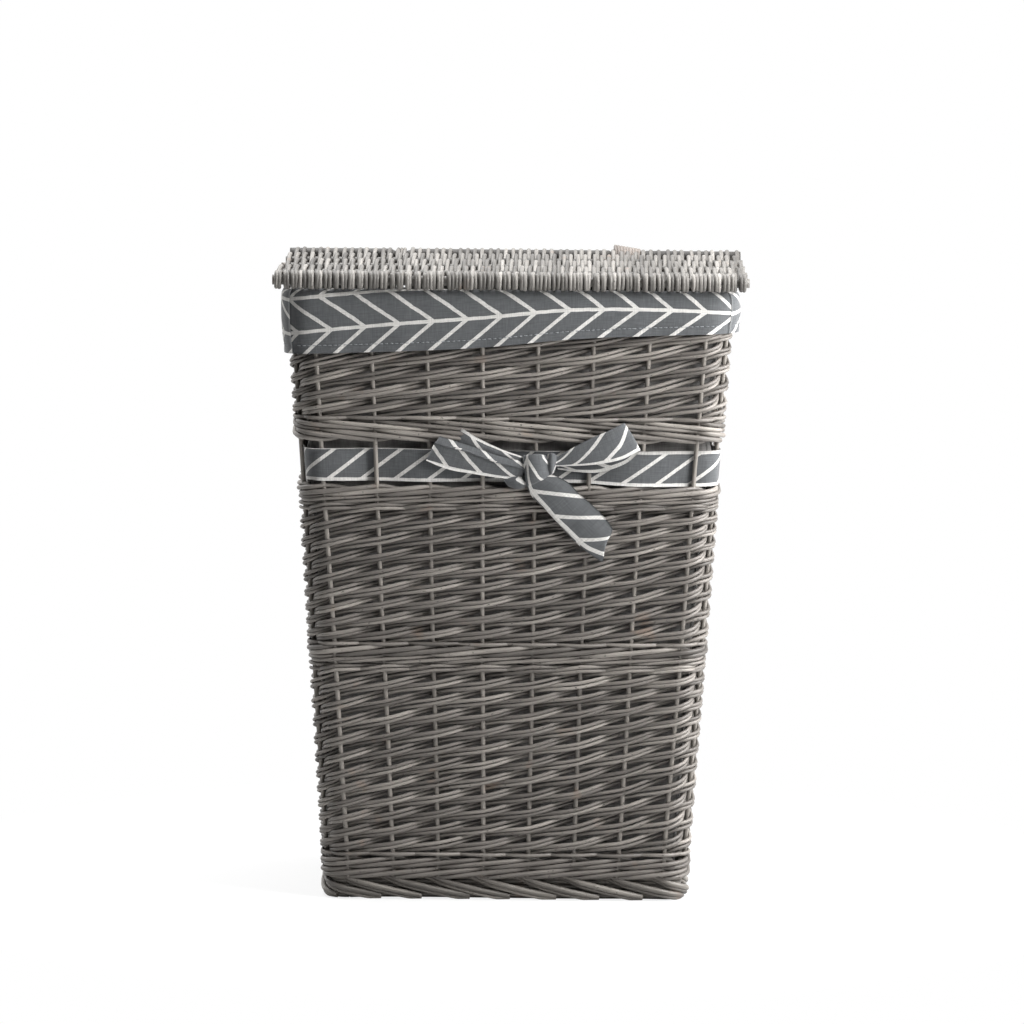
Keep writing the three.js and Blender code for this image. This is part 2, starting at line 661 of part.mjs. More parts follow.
const ribbonFront = STAKE_RADIUS + CLEARANCE + RIBBON_THICKNESS;
const knotMiddle = WALL_REACH - ribbonFront - KNOT_DEPTH / 2;
const knotGeometry = new THREE.SphereGeometry(0.5, 10, 6).rotateX(Math.PI / 2);
knotGeometry.scale(KNOT_WIDTH, KNOT_DEPTH, KNOT_HEIGHT);
addPiece('bow_knot', knotGeometry, RIBBON, bow).position.y = knotMiddle;

// A loop of the bow lies along the wall: seen from above it is a drop with its narrow end at the knot.
function bowLoop() {
  const bulge = LOOP_FULLNESS * 0.65;
  const shape = new THREE.Shape();
  shape.moveTo(0, -LOOP_FULLNESS / 5);
  shape.bezierCurveTo(LOOP_LENGTH * 0.4, -bulge, LOOP_LENGTH * 0.9, -bulge, LOOP_LENGTH, 0);
  shape.bezierCurveTo(LOOP_LENGTH * 0.9, bulge, LOOP_LENGTH * 0.4, bulge, 0, LOOP_FULLNESS / 5);
  const options = { depth: LOOP_WIDTH, bevelEnabled: false, curveSegments: 5 };
  return new THREE.ExtrudeGeometry(shape, options).translate(CLEARANCE, 0, -LOOP_WIDTH / 2);
}

function addBowLoop(name, direction) {
  const arm = new THREE.Group();
  arm.position.set((direction * KNOT_WIDTH) / 2, -LOOP_FULLNESS / 2, 0);
  arm.rotation.y = -direction * LOOP_TILT;
  bow.add(arm);
  addPiece(name, bowLoop(), RIBBON, arm).rotation.z = direction < 0 ? Math.PI : 0;
}

addBowLoop('bow_loop_left', -1);
addBowLoop('bow_loop_right', 1);

// The tail hangs from the knot across the weave.
const tailTop = KNOT_WIDTH / 8; // half the width gathered into the knot
const tailGeometry = new THREE.ExtrudeGeometry(
  new THREE.Shape([
    new THREE.Vector2(-tailTop, 0),
    new THREE.Vector2(-TAIL_WIDTH / 2, -TAIL_LENGTH),
    new THREE.Vector2(TAIL_WIDTH / 2, -TAIL_LENGTH),
    new THREE.Vector2(tailTop, 0),
  ]),
  { depth: FABRIC, bevelEnabled: false },
).rotateX(Math.PI / 2);
const tail = addPiece('bow_tail', tailGeometry, RIBBON, bow);
tail.rotation.y = -TAIL_TURN;
tail.position.set(0, knotMiddle, -KNOT_HEIGHT / 2 - CLEARANCE - tailTop * Math.sin(TAIL_TURN));

export default hamper;
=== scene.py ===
# %% [markdown]
# # A lined wicker laundry hamper
#
# A tapered basket of grey willow with a woven lid, a cotton liner whose printed cuff is turned over the
# rim, and a ribbon of the same cotton run through an open row of the weave and tied in a bow. The frame
# gives the place of every piece. This script makes their surfaces: each rod, each sheet of cloth and
# each stitch.

# %% Load the frame
import math

import bpy
import numpy as np
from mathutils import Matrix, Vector


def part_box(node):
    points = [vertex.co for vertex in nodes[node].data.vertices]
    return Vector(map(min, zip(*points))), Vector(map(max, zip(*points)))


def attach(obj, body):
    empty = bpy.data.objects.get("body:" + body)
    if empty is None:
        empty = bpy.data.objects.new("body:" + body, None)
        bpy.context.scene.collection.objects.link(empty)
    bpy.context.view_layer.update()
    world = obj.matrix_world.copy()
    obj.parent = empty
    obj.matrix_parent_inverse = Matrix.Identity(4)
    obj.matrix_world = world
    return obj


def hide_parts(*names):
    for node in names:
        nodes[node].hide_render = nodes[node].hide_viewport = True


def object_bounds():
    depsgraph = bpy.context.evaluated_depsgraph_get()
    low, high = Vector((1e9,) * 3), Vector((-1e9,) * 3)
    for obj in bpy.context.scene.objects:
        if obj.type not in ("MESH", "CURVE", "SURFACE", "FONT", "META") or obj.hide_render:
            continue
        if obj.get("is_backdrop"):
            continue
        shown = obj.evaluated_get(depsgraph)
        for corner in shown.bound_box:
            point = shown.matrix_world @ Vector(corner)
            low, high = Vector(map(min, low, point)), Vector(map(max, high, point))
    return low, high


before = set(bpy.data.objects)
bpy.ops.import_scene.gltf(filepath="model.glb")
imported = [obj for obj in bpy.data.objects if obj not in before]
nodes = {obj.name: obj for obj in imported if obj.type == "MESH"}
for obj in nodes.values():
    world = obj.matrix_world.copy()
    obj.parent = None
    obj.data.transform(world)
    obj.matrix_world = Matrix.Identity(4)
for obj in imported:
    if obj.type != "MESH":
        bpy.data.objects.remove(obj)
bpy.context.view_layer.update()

# %% [markdown]
# ## Camera, floor and light
#
# A long lens far away keeps upright things upright. The camera stands a little above the lid, so the
# lid's top shows as a narrow band, and is tilted half a degree sideways.
# The light is a white room. Two large soft lamps above make the lid the brightest part, a tall one at
# each side draws a bright edge down it, and a key lamp with a small one nearer lights the front's right
# half more than its left. The lamps are areas, because small lamps would put hard shadows between rods.

# %% Camera
CAMERA_DISTANCE = 5.5
CAMERA_HEIGHT = 1.0
CAMERA_SIDE = -0.03
AIM = Vector((0.003, -0.15, 0.3745))
LENS = 202.0
CAMERA_ROLL = 0.5  # degrees


def aim_at(thing, target):
    thing.rotation_euler = (target - thing.location).to_track_quat("-Z", "Y").to_euler()


camera = bpy.data.objects.new("camera", bpy.data.cameras.new("camera"))
bpy.context.scene.collection.objects.link(camera)
camera.location = (CAMERA_SIDE, -CAMERA_DISTANCE, CAMERA_HEIGHT)
camera.data.lens = LENS
camera.data.clip_end = 50
aim_at(camera, AIM)
camera.rotation_euler.rotate_axis("Z", math.radians(CAMERA_ROLL))
bpy.context.scene.camera = camera
bpy.context.scene.view_settings.view_transform = "Standard"
print("the camera is", round((camera.location - AIM).length, 2), "m from what it looks at")


# %% A node at a time
def add(tree, kind, *values, **named):
    """Adds a shader node. Values go to its inputs in order, and named ones by name, with _ for each space.
    A name in lower case is the node's own setting. An input takes a value, another node's socket, or
    another node for its first output."""
    made = tree.nodes.new("ShaderNode" + kind)
    settings = {key: value for key, value in named.items() if key.islower()}
    for key, value in settings.items():
        setattr(made, key, value)
    for key, value in [*enumerate(values), *named.items()]:
        if key in settings:
            continue
        socket = made.inputs[key.replace("_", " ") if isinstance(key, str) else key]
        value = value.outputs[0] if isinstance(value, bpy.types.Node) else value
        if isinstance(value, bpy.types.NodeSocket):
            tree.links.new(value, socket)
        else:
            socket.default_value = value
    return made


def linear(hex_colour):
    """An sRGB hex colour as the linear colour that the shader takes."""
    parts = [int(hex_colour[i : i + 2], 16) / 255 for i in (1, 3, 5)]
    return [c / 12.92 if c <= 0.04045 else ((c + 0.055) / 1.055) ** 2.4 for c in parts] + [1.0]


def blank_material(name):
    """A material with only its output node."""
    material = bpy.data.materials.new(name)
    material.use_nodes = True
    material.node_tree.nodes.clear()
    return material, material.node_tree, add(material.node_tree, "OutputMaterial")


print("a middle grey of #808080 is", round(linear("#808080")[0], 3), "linear")

# %% [markdown]
# The floor is white paper. To the camera it is mostly its own white, so it joins the background without
# a line, and a little of the hamper's soft shadow stays on it. Light that bounces off it stays ordinary.

# %% Floor and background
FLOOR_SIZE = 12.0
SHADOW_SHARE = 0.2  # how much of the real shading the camera sees on the floor, near the hamper
SHADOW_NEAR, SHADOW_FAR = 0.25, 0.6  # over these distances from the middle that share fades to nothing

paper, tree, output = blank_material("white_paper_floor")
seen = add(tree, "LightPath")
spot = add(tree, "NewGeometry").outputs["Position"]
reach = add(tree, "VectorMath", spot, operation="LENGTH").outputs["Value"]
share = add(
    tree, "MapRange", Value=reach, From_Min=SHADOW_NEAR, From_Max=SHADOW_FAR, To_Min=SHADOW_SHARE, To_Max=0.0
)
lit = add(tree, "BsdfDiffuse", Color=linear("#c4c4c4"))
shaded_white = add(tree, "BsdfDiffuse", Color=linear("#f8f8f8"))
plain_white = add(tree, "Emission", Color=(1, 1, 1, 1), Strength=1.0)
mostly_white = add(tree, "MixShader", share, plain_white, shaded_white)
shown = add(tree, "MixShader", seen.outputs["Is Camera Ray"], lit, mostly_white)
tree.links.new(shown.outputs[0], output.inputs["Surface"])

half = FLOOR_SIZE / 2
floor_mesh = bpy.data.meshes.new("floor")
corners = [(-half, -half, 0), (half, -half, 0), (half, half, 0), (-half, half, 0)]
floor_mesh.from_pydata(corners, [], [(0, 1, 2, 3)])
floor = bpy.data.objects.new("floor", floor_mesh)
bpy.context.scene.collection.objects.link(floor)
floor.data.materials.append(paper)
floor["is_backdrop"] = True

print("a floor", FLOOR_SIZE, "m wide")

# %% [markdown]
# The room is white too. The camera, and whatever mirrors or lets through, sees it at full white, and the
# hamper gets only a little light from it, so the lamps decide the shading.

# %% Room
ROOM_LIGHT = 0.03
world = bpy.data.worlds.new("white_room")
bpy.context.scene.world = world
world.use_nodes = True
tree = world.node_tree
tree.nodes.clear()
seen = add(tree, "LightPath")
camera_ray, glossy_ray = seen.outputs["Is Camera Ray"], seen.outputs["Is Glossy Ray"]
mirrored = add(tree, "Math", camera_ray, glossy_ray, operation="MAXIMUM")
direct = add(tree, "Math", mirrored, seen.outputs["Is Transmission Ray"], operation="MAXIMUM")
strength = add(tree, "MapRange", Value=direct, To_Min=ROOM_LIGHT, To_Max=1.0)
background = add(tree, "Background", Color=(1, 1, 1, 1), Strength=strength)
add(tree, "OutputWorld", Surface=background)
print("the room gives", ROOM_LIGHT, "of a white background's light")


# %% Lamps
def soft_lamp(name, place, target, size, power):
    """A rectangle of light, in metres and watts, that faces its target."""
    lamp = bpy.data.lights.new(name, "AREA")
    lamp.shape = "RECTANGLE"
    lamp.size, lamp.size_y = size
    lamp.energy = power
    made = bpy.data.objects.new(name, lamp)
    bpy.context.scene.collection.objects.link(made)
    made.location = place
    aim_at(made, Vector(target))


MIDDLE, FRONT, LID = (0, 0, 0.3), (0, 0, 0.45), (0, 0, 0.6)
soft_lamp("lamp_above", (0, 0.2, 2.6), LID, (2.0, 1.6), 74)
soft_lamp("lamp_behind", (-0.8, 1.1, 2.3), LID, (2.0, 1.4), 36)
soft_lamp("lamp_key", (0.98, -0.66, 0.98), MIDDLE, (0.35, 1.2), 18)
soft_lamp("lamp_near", (0.66, -0.60, 0.85), FRONT, (0.25, 0.5), 5.5)
soft_lamp("lamp_right", (1.3, -0.1, 0.7), MIDDLE, (0.4, 1.2), 18)
soft_lamp("lamp_left", (-1.9, 1.3, 0.9), MIDDLE, (1.0, 1.8), 12)
print("six soft lamps")

# %% [markdown]
# ## The wall
#
# Everything on the body is placed on the wall's own coordinates: how many bays along from the front's
# first stake, how high, and how far outside the line of the stakes. The line of the stakes is read from
# the frame's stakes, so that the cloth and the rods follow the real taper.


# %% The wall's coordinates
END_DEPTH = 0.004  # a stake's corners within this of its top or bottom belong to that end


def stake_ends(name):
    """The middles of a stake's two ends, from its solid in the frame."""
    points = np.array([v.co for v in nodes[name].data.vertices])
    ends = []
    for level in (points[:, 2].min(), points[:, 2].max()):
        near = points[np.abs(points[:, 2] - level) < END_DEPTH]
        ends.append((near.min(axis=0) + near.max(axis=0)) / 2)
    return ends


LONG_BAYS = sum(name.startswith("stake_front_") for name in nodes) - 1
SHORT_BAYS = sum(name.startswith("stake_right_") for name in nodes) - 1
SIDES = ["front", "right", "back", "left"]
SIDE_BAYS = np.array([LONG_BAYS, SHORT_BAYS, LONG_BAYS, SHORT_BAYS])
SIDE_STARTS = np.concatenate([[0], np.cumsum(SIDE_BAYS + 1)[:-1]])
STAKES = int((SIDE_BAYS + 1).sum())

front_foot, front_head = stake_ends("stake_front_1")
side_foot, side_head = stake_ends("stake_right_1")
corner_foot, _ = stake_ends(f"stake_front_{LONG_BAYS + 1}")
CORNER_RADIUS = side_foot[0] - corner_foot[0]
STAKE_RADIUS = 0.00225


def wall(bay, height, offset):
    """Points on the wall, with x, y and z last. Whole bays are stakes, anticlockwise seen from above."""
    bay, height, offset = np.broadcast_arrays(np.mod(np.asarray(bay, float), STAKES), height, offset)
    side = np.searchsorted(SIDE_STARTS, bay, side="right") - 1
    rest, bays = bay - SIDE_STARTS[side], SIDE_BAYS[side]
    share = (height - side_foot[2]) / (side_head[2] - side_foot[2])
    half_length = side_foot[0] + share * (side_head[0] - side_foot[0])
    half_depth = -front_foot[1] - share * (front_head[1] - front_foot[1])
    along_half = np.where(side % 2, half_depth, half_length) - CORNER_RADIUS
    reach = np.where(side % 2, half_length, half_depth) - CORNER_RADIUS
    turn = np.clip(rest - bays, 0, None) * math.pi / 2
    run = along_half * (2 * np.minimum(rest, bays) / bays - 1)
    along = run + (CORNER_RADIUS + offset) * np.sin(turn)
    out = reach + (CORNER_RADIUS + offset) * np.cos(turn)
    cos, sin = np.cos(side * math.pi / 2), np.sin(side * math.pi / 2)
    return np.stack([along * cos + out * sin, along * sin - out * cos, height], axis=-1)


print(STAKES, "stakes, corner radius", round(CORNER_RADIUS * 1000, 1), "mm")

# %% [markdown]
# ## Rods
#
# A willow rod is a long thin cone, nearly round. Hundreds of them could be curve objects with a bevel,
# but one mesh for each woven band is lighter, and it lets every rod carry its own length and tone: the
# length runs along U, so that grain and streaks follow the rod round every bend, and a point attribute
# called tone makes one rod darker or paler than its neighbour. Each rod ends in a flat cut face, which
# has a material of its own because cut willow is paler than its stained skin.


# %% A piece from corners
def make_piece(name, vertices, loops, starts, materials, uv, smooth=None, slots=None, tone=None):
    """A mesh object. loops lists the corners of all faces, and starts says where each face begins."""
    mesh = bpy.data.meshes.new(name)
    mesh.vertices.add(len(vertices))
    mesh.vertices.foreach_set("co", np.asarray(vertices, np.float32).ravel())
    mesh.loops.add(len(loops))
    mesh.loops.foreach_set("vertex_index", np.asarray(loops, np.int32))
    mesh.polygons.add(len(starts))
    mesh.polygons.foreach_set("loop_start", np.asarray(starts, np.int32))
    for material in materials:
        mesh.materials.append(material)
    mesh.polygons.foreach_set("use_smooth", np.ones(len(starts), bool) if smooth is None else smooth)
    if slots is not None:
        mesh.polygons.foreach_set("material_index", np.asarray(slots, np.int32))
    mesh.uv_layers.new(name="lengths")
    mesh.uv_layers["lengths"].data.foreach_set("uv", np.asarray(uv, np.float32).ravel())
    if tone is not None:
        layer = mesh.attributes.new("tone", "FLOAT", "POINT")
        layer.data.foreach_set("value", np.asarray(tone, np.float32))
    mesh.update(calc_edges=True)
    made = bpy.data.objects.new(name, mesh)
    bpy.context.scene.collection.objects.link(made)
    return made


print("a piece keeps its real lengths as U and V")


# %% A mesh of rods
TONE_SHIFT = 7.3  # metres along the grain between the palest and the darkest rod, so that no two look alike


def unit(vectors):
    return vectors / np.linalg.norm(vectors, axis=-1, keepdims=True)


def make_rods(name, rods, materials, up=(0, 0, 1), sides=8, closed=False):
    """Round rods in one mesh. Each rod is (points, radius at each point or one radius, tone)."""
    angles = 2 * math.pi * np.arange(sides) / sides - math.pi / 2
    vertices, loops, starts, uv, slots, tones = [], [], [], [], [], []
    base, loop_count = 0, 0
    column = np.arange(sides)
    after = (column + 1) % sides
    for points, radius, tone in rods:
        points = np.asarray(points, float)
        count = len(points)
        radius = np.broadcast_to(radius, count)
        if closed:
            along = unit(np.roll(points, -1, axis=0) - np.roll(points, 1, axis=0))
        else:
            along = unit(np.gradient(points, axis=0))
        over = np.asarray(up, float)
        over = unit(over - (along @ over)[:, None] * along)
        beside = np.cross(along, over)
        ring = np.cos(angles)[:, None] * over[:, None] + np.sin(angles)[:, None] * beside[:, None]
        vertices.append((points[:, None] + radius[:, None, None] * ring).reshape(-1, 3))
        tones.append(np.full(count * sides, tone))
        steps = np.linalg.norm(np.diff(points, axis=0, append=points[:1]), axis=1)
        length = np.concatenate([[0], np.cumsum(steps)]) + TONE_SHIFT * tone
        spans = count if closed else count - 1
        here = np.arange(spans)[:, None]
        there = (here + 1) % count
        here_ring, there_ring = here * sides, there * sides
        corners = [here_ring + column, here_ring + after, there_ring + after, there_ring + column]
        quads = np.stack(corners, axis=-1)
        loops.append(base + quads.reshape(-1))
        starts.append(loop_count + 4 * np.arange(spans * sides))
        u = np.stack([length[here], length[here], length[here + 1], length[here + 1]], axis=-1)
        v = np.stack([column, column + 1, column + 1, column], axis=-1)[None] / sides
        uv.append(np.stack(np.broadcast_arrays(u, v), axis=-1).reshape(-1, 2))
        slots.append(np.zeros(spans * sides, int))
        loop_count += 4 * spans * sides
        if not closed:
            loops.append(base + np.concatenate([column[::-1], (count - 1) * sides + column]))
            starts.append(np.array([loop_count, loop_count + sides]))
            uv.append(np.stack([np.full(2 * sides, length[0]), np.tile(column / sides, 2)], axis=-1))
            slots.append(np.ones(2, int))
            loop_count += 2 * sides
        base += count * sides
    slots = np.concatenate(slots)
    return make_piece(
        name, np.concatenate(vertices), np.concatenate(loops), np.concatenate(starts), materials,
        np.concatenate(uv), smooth=slots == 0, slots=slots, tone=np.concatenate(tones),
    )


print("a rod has eight sides, and a stout one ten or twelve")

# %% [markdown]
# ## Materials
#
# ### Willow
#
# The rods are peeled willow stained a warm grey, and left matt with a slight polish where hands and
# brushes rub them. Wood takes a stain unevenly: whole rods differ, long streaks run down each rod, and
# small dark flecks mark where side shoots were. All of that is stretched along the rod, so the noise is
# read from U, in metres, much finer than from V, once round. A faint lengthwise grain goes in the bump.
# Grain on willow is about 0.2 mm wide, too fine to show, so it is drawn about 1 mm wide. The weavers,
# the lid, the stakes, the cut ends, one binding of split cane and the lid's back stick differ in their
# greys and their polish. The back stick's near black is painted shade, for the shade in the gaps
# between the wraps that lie over it.


# %% Stained willow
STREAKS, PATCHES, FLECKS, GRAIN = (14, 7), (22, 1.2), (260, 5), (60, 12)  # steps in a metre, and round a rod
RUBS = 34.0  # rubbed places are read from the place in the room instead, so they cross from rod to rod


def along_the_rod(tree, steps):
    """A coordinate that is stretched along a rod."""
    uv = add(tree, "UVMap", uv_map="lengths")
    return add(tree, "Mapping", Vector=uv, Scale=(*steps, 1))


def willow(name, dark, middle, light, roughness=0.5, bare="#86705f"):
    """Stained willow in three greys. bare is the wood that shows where the stain is rubbed away."""
    material, tree, output = blank_material(name)
    tone = add(tree, "Attribute", attribute_name="tone").outputs["Fac"]
    streaks = add(
        tree, "TexNoise", Vector=along_the_rod(tree, STREAKS), Scale=1.0, Detail=4.0, Roughness=0.6
    ).outputs["Fac"]
    patches = add(tree, "TexNoise", Vector=along_the_rod(tree, PATCHES), Scale=1.0, Detail=2.0).outputs["Fac"]
    # A noise is about 0.5 on the whole, so half of what each one adds is taken off again.
    streaked = add(tree, "Math", streaks, 0.55, -0.28, operation="MULTIPLY_ADD")
    toned = add(tree, "Math", streaked, tone, operation="ADD")
    blotched = add(tree, "Math", patches, 0.5, toned, operation="MULTIPLY_ADD")
    value = add(tree, "Math", blotched, 0.25, operation="SUBTRACT")
    ramp = add(tree, "ValToRGB", Fac=value)
    ends = ramp.color_ramp.elements
    ends[0].position, ends[0].color = 0.05, linear(dark)
    ends[1].position, ends[1].color = 0.95, linear(light)
    ends.new(0.5).color = linear(middle)
    flecks = add(tree, "TexNoise", Vector=along_the_rod(tree, FLECKS), Scale=1.0, Detail=1.0).outputs["Fac"]
    # Only where a noise is at its highest does it make a fleck or a rubbed place.
    fleck = add(tree, "MapRange", Value=flecks, From_Min=0.68, From_Max=0.74)
    flecked = add(tree, "Mix", Factor=fleck, A=ramp, B=linear(dark), data_type="RGBA")
    place = add(tree, "NewGeometry").outputs["Position"]
    rubs = add(tree, "TexNoise", Vector=place, Scale=RUBS, Detail=2.0).outputs["Fac"]
    rubbed = add(tree, "MapRange", Value=rubs, From_Min=0.66, From_Max=0.76, To_Max=0.4)
    coloured = add(tree, "Mix", Factor=rubbed, A=flecked.outputs["Result"], B=linear(bare), data_type="RGBA")
    grain = add(tree, "TexNoise", Vector=along_the_rod(tree, GRAIN), Scale=1.0, Detail=3.0).outputs["Fac"]
    bump = add(tree, "Bump", Height=grain, Strength=0.35, Distance=0.0006)
    polish = add(tree, "MapRange", Value=streaks, To_Min=roughness - 0.1, To_Max=roughness + 0.12)
    shader = add(
        tree, "BsdfPrincipled", Base_Color=coloured.outputs["Result"], Roughness=polish, IOR=1.5, Normal=bump
    )
    tree.links.new(shader.outputs[0], output.inputs["Surface"])
    return material


weaver_willow = willow("stained_willow_weavers", "#484440", "#716c67", "#9f9992", roughness=0.45)
lid_willow = willow("stained_willow_lid", "#43403d", "#686561", "#97938e")
stake_willow = willow("stained_willow_stakes", "#504c48", "#77726c", "#a09a93", roughness=0.42)
cut_willow = willow("cut_willow_ends", "#5d5750", "#857d73", "#a89f93", roughness=0.7)
bare_cane = willow("split_cane", "#635c57", "#7a726c", "#90877f", roughness=0.5)
# Near-black willow for the lid's back stick: painted shade, where it shows in the gaps between the wraps.
painted_shade_willow = willow("painted_shade_willow", "#242220", "#35322f", "#4a4642", roughness=0.6, bare="#3a352f")
WEAVERS = [weaver_willow, cut_willow]
STICKS = [stake_willow, cut_willow]
print("six finishes of willow")

# %% [markdown]
# ### Cotton
#
# The liner is plain-woven cotton in a warm grey. The cuff, the ribbon and the bow are slate grey with a
# pale herringbone printed on it: straight lines 3.3 mm wide along the cloth, every 32 mm, and slanting
# lines between them that turn back at each one. The print is worked out from U and V, which hold the
# cloth's own flat measure in metres, so it bends and folds with the cloth. Ink on cotton is not quite
# even, so its edges wander a little. Cotton yarn has thick places, called slubs, that show as short
# streaks both ways. Its threads are 0.4 mm apart, too fine to show, and are drawn at 1.1 mm.

# %% Printed and plain cotton
PRINT_ROW = 0.032
PRINT_STEP = 0.0318
PRINT_SLOPE = 1.3  # how far a slanting line runs along the cloth for each step across it
PRINT_LINE = 0.0033
INK_WANDER, INK_COVER = 0.0012, 0.94  # over how far its edges wander, and how much of the ground it hides
WEAR = 38.0
THREAD = 0.0011
SLUBS = (70, 900, 1), (900, 70, 1)


def herringbone(tree, u, v):
    """1 on the printed lines, 0 on the ground."""
    across = add(tree, "Math", v, PRINT_ROW, operation="PINGPONG")
    sloped = add(tree, "Math", across, PRINT_SLOPE, operation="MULTIPLY")
    slant = add(tree, "Math", u, sloped, operation="ADD")
    phase = add(tree, "Math", slant, PRINT_STEP / 2, operation="PINGPONG")
    half_width = PRINT_LINE * math.hypot(1, PRINT_SLOPE) / 2
    arms = add(tree, "Math", phase, half_width, operation="LESS_THAN")
    other_edge = add(tree, "Math", PRINT_ROW, across, operation="SUBTRACT")
    edge = add(tree, "Math", across, other_edge, operation="MINIMUM")
    spines = add(tree, "Math", edge, PRINT_LINE / 2, operation="LESS_THAN")
    return add(tree, "Math", arms, spines, operation="MAXIMUM")


def cotton(name, ground, shade, ink=None):
    """Plain-woven cotton in two greys, with the herringbone where it has an ink."""
    material, tree, output = blank_material(name)
    uv = add(tree, "UVMap", uv_map="lengths")
    axes = add(tree, "SeparateXYZ", Vector=uv)
    wear = add(tree, "TexNoise", Vector=uv, Scale=WEAR, Detail=5.0, Roughness=0.65).outputs["Fac"]
    colour = add(tree, "Mix", Factor=wear, A=linear(shade), B=linear(ground), data_type="RGBA")
    if ink:
        wander = add(tree, "TexNoise", Vector=uv, Scale=90.0, Detail=2.0).outputs["Fac"]
        drift = add(tree, "Math", wander, INK_WANDER, -INK_WANDER / 2, operation="MULTIPLY_ADD")
        u, v = (add(tree, "Math", axes.outputs[i], drift, operation="ADD") for i in (0, 1))
        cover = add(tree, "Math", herringbone(tree, u, v), INK_COVER, operation="MULTIPLY")
        colour = add(tree, "Mix", Factor=cover, A=colour.outputs["Result"], B=linear(ink), data_type="RGBA")
    turns = [add(tree, "Math", axes.outputs[i], 2 * math.pi / THREAD, operation="MULTIPLY") for i in (0, 1)]
    warp, weft = (add(tree, "Math", turn, operation="SINE") for turn in turns)
    threads = add(tree, "Math", warp, weft, operation="MULTIPLY")
    yarn = add(tree, "MapRange", Value=threads, From_Min=-1.0, From_Max=1.0, To_Min=0.93, To_Max=1.05)
    for stretch in SLUBS:
        stretched = add(tree, "Mapping", Vector=uv, Scale=stretch)
        slubs = add(tree, "TexNoise", Vector=stretched, Scale=1.0, Detail=2.0).outputs["Fac"]
        varied = add(tree, "MapRange", Value=slubs, From_Min=0.3, From_Max=0.7, To_Min=0.86, To_Max=1.14)
        yarn = add(tree, "Math", yarn, varied, operation="MULTIPLY")
    grey = add(tree, "CombineColor", yarn, yarn, yarn)
    colour = add(
        tree, "Mix", Factor=1.0, A=colour.outputs["Result"], B=grey, data_type="RGBA", blend_type="MULTIPLY"
    )
    bump = add(tree, "Bump", Height=threads, Strength=0.3, Distance=0.0002)
    shader = add(
        tree, "BsdfPrincipled", Base_Color=colour.outputs["Result"], Roughness=0.9, IOR=1.45,
        Sheen_Weight=0.25, Sheen_Roughness=0.5, Normal=bump,
    )
    tree.links.new(shader.outputs[0], output.inputs["Surface"])
    return material


printed_cotton = cotton("printed_cotton", "#5c5e60", "#494b4d", ink="#cfcdc9")
plain_cotton = cotton("plain_cotton", "#72706e", "#615f5d")
hem_thread = cotton("cotton_thread", "#919496", "#75797c")
print("herringbone lines", PRINT_LINE * 1000, "mm wide, every", PRINT_STEP * 1000, "mm")

# %% [markdown]
# ## Stakes
#
# The uprights are the thickest rods in the wall and carry the whole basket. The frame has them as plain
# straight bars, so each one is made again here, a little crooked as willow is, with knots, and thinning
# towards the rim.

# %% Stakes
CROOK = 0.0005  # how far a stake wanders from a straight line
KNOTS, KNOT_SWELL = 5.3, 0.09  # how many knots a stake has, and by which share it is thicker there
STAKE_TAPER = 0.08
random = np.random.RandomState(11)
for name in sorted(node for node in nodes if node.startswith("stake_")):
    foot, head = stake_ends(name)
    share = np.linspace(0, 1, 40)
    phase = random.uniform(0, 2 * math.pi, 2)
    sway = CROOK * np.stack([np.sin(9 * share + phase[0]), np.cos(11 * share + phase[1]), 0 * share], axis=-1)
    points = foot + share[:, None] * (head - foot) + sway * np.sin(math.pi * share)[:, None]
    knots = 1 + KNOT_SWELL * np.exp(-(((share * KNOTS + random.uniform(0, 1)) % 1 - 0.5) / 0.05) ** 2)
    radius = STAKE_RADIUS * (1.0 - STAKE_TAPER * share) * knots
    rods = [(points, radius, random.uniform(0.35, 0.75))]
    rod = make_rods(f"{name}_rod", rods, STICKS, up=(1, 0, 0), sides=10)
    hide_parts(name)
    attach(rod, "body")
print(STAKES, "stakes")

# %% [markdown]
# ## French randing
#
# A pair of weavers starts at every stake. Each goes in front of one stake and behind the next, and climbs
# one row in every bay, so the whole field slants up to the right, and at any height all the stakes show
# or hide together. Between stakes a rod bends smoothly from the outside to the inside, which a cosine
# gives. A weaver is used up after thirteen to twenty-four bays, and the next one starts behind the stake
# where it ended, so no cut end shows outside. Rows woven by hand aren't level: across the front they
# rise to the right, most of all near its corners, and they come down again at the back.

# %% Randed fields
ROD_DIAMETER = 0.0036
PAIR = 2
STEPS_IN_A_BAY = 6
ROD_LENGTH_BAYS = (13, 24)
ROW_PACKING = 1.06  # a row's height, as a share of the thickness of the rods in it
CLEARANCE = 0.0002  # between a weaver and the stake that it passes
WANDER = 0.00035  # how far a weaver strays up and down
DIP, DIP_SWING = 0.0008, 0.0007  # how far a rod is below its climb in front of a stake, and above it behind
ARCH = 0.0004  # how far a rod that comes out from behind a stake bows up on its way to the next
ROW_SWAY, ROW_SWAY_FROM = 0.085, -4  # the share of the field by which the rows rise, and from which bay
ROW_WAVE = 0.0022  # how much more they rise near the front's corners


def around(bays, turns=1):
    """An angle that goes round so many times while the bays go once round the hamper."""
    return 2 * math.pi * turns * bays / STAKES


def zigzag(place):
    """1 behind the stakes and -1 in front of them, with straight runs between."""
    return np.arcsin(0.93 * np.cos(math.pi * place)) / math.asin(0.93)


def woven_offset(bay_place, reach):
    """In front of a stake at odd strokes and behind it at even ones, with a quick crossing between."""
    wave = -np.cos(math.pi * bay_place)
    return reach * np.sign(wave) * np.abs(wave) ** 0.8


def row_rise(bays, share, field):
    """How far the rows are moved, at a share of the height of a field."""
    sway = ROW_SWAY * field * np.sin(math.pi * share) * np.cos(around(bays - ROW_SWAY_FROM))
    return -sway - ROW_WAVE * np.sin(math.pi * share) ** 0.6 * np.sin(around(bays - (LONG_BAYS - 1) / 2, 4))


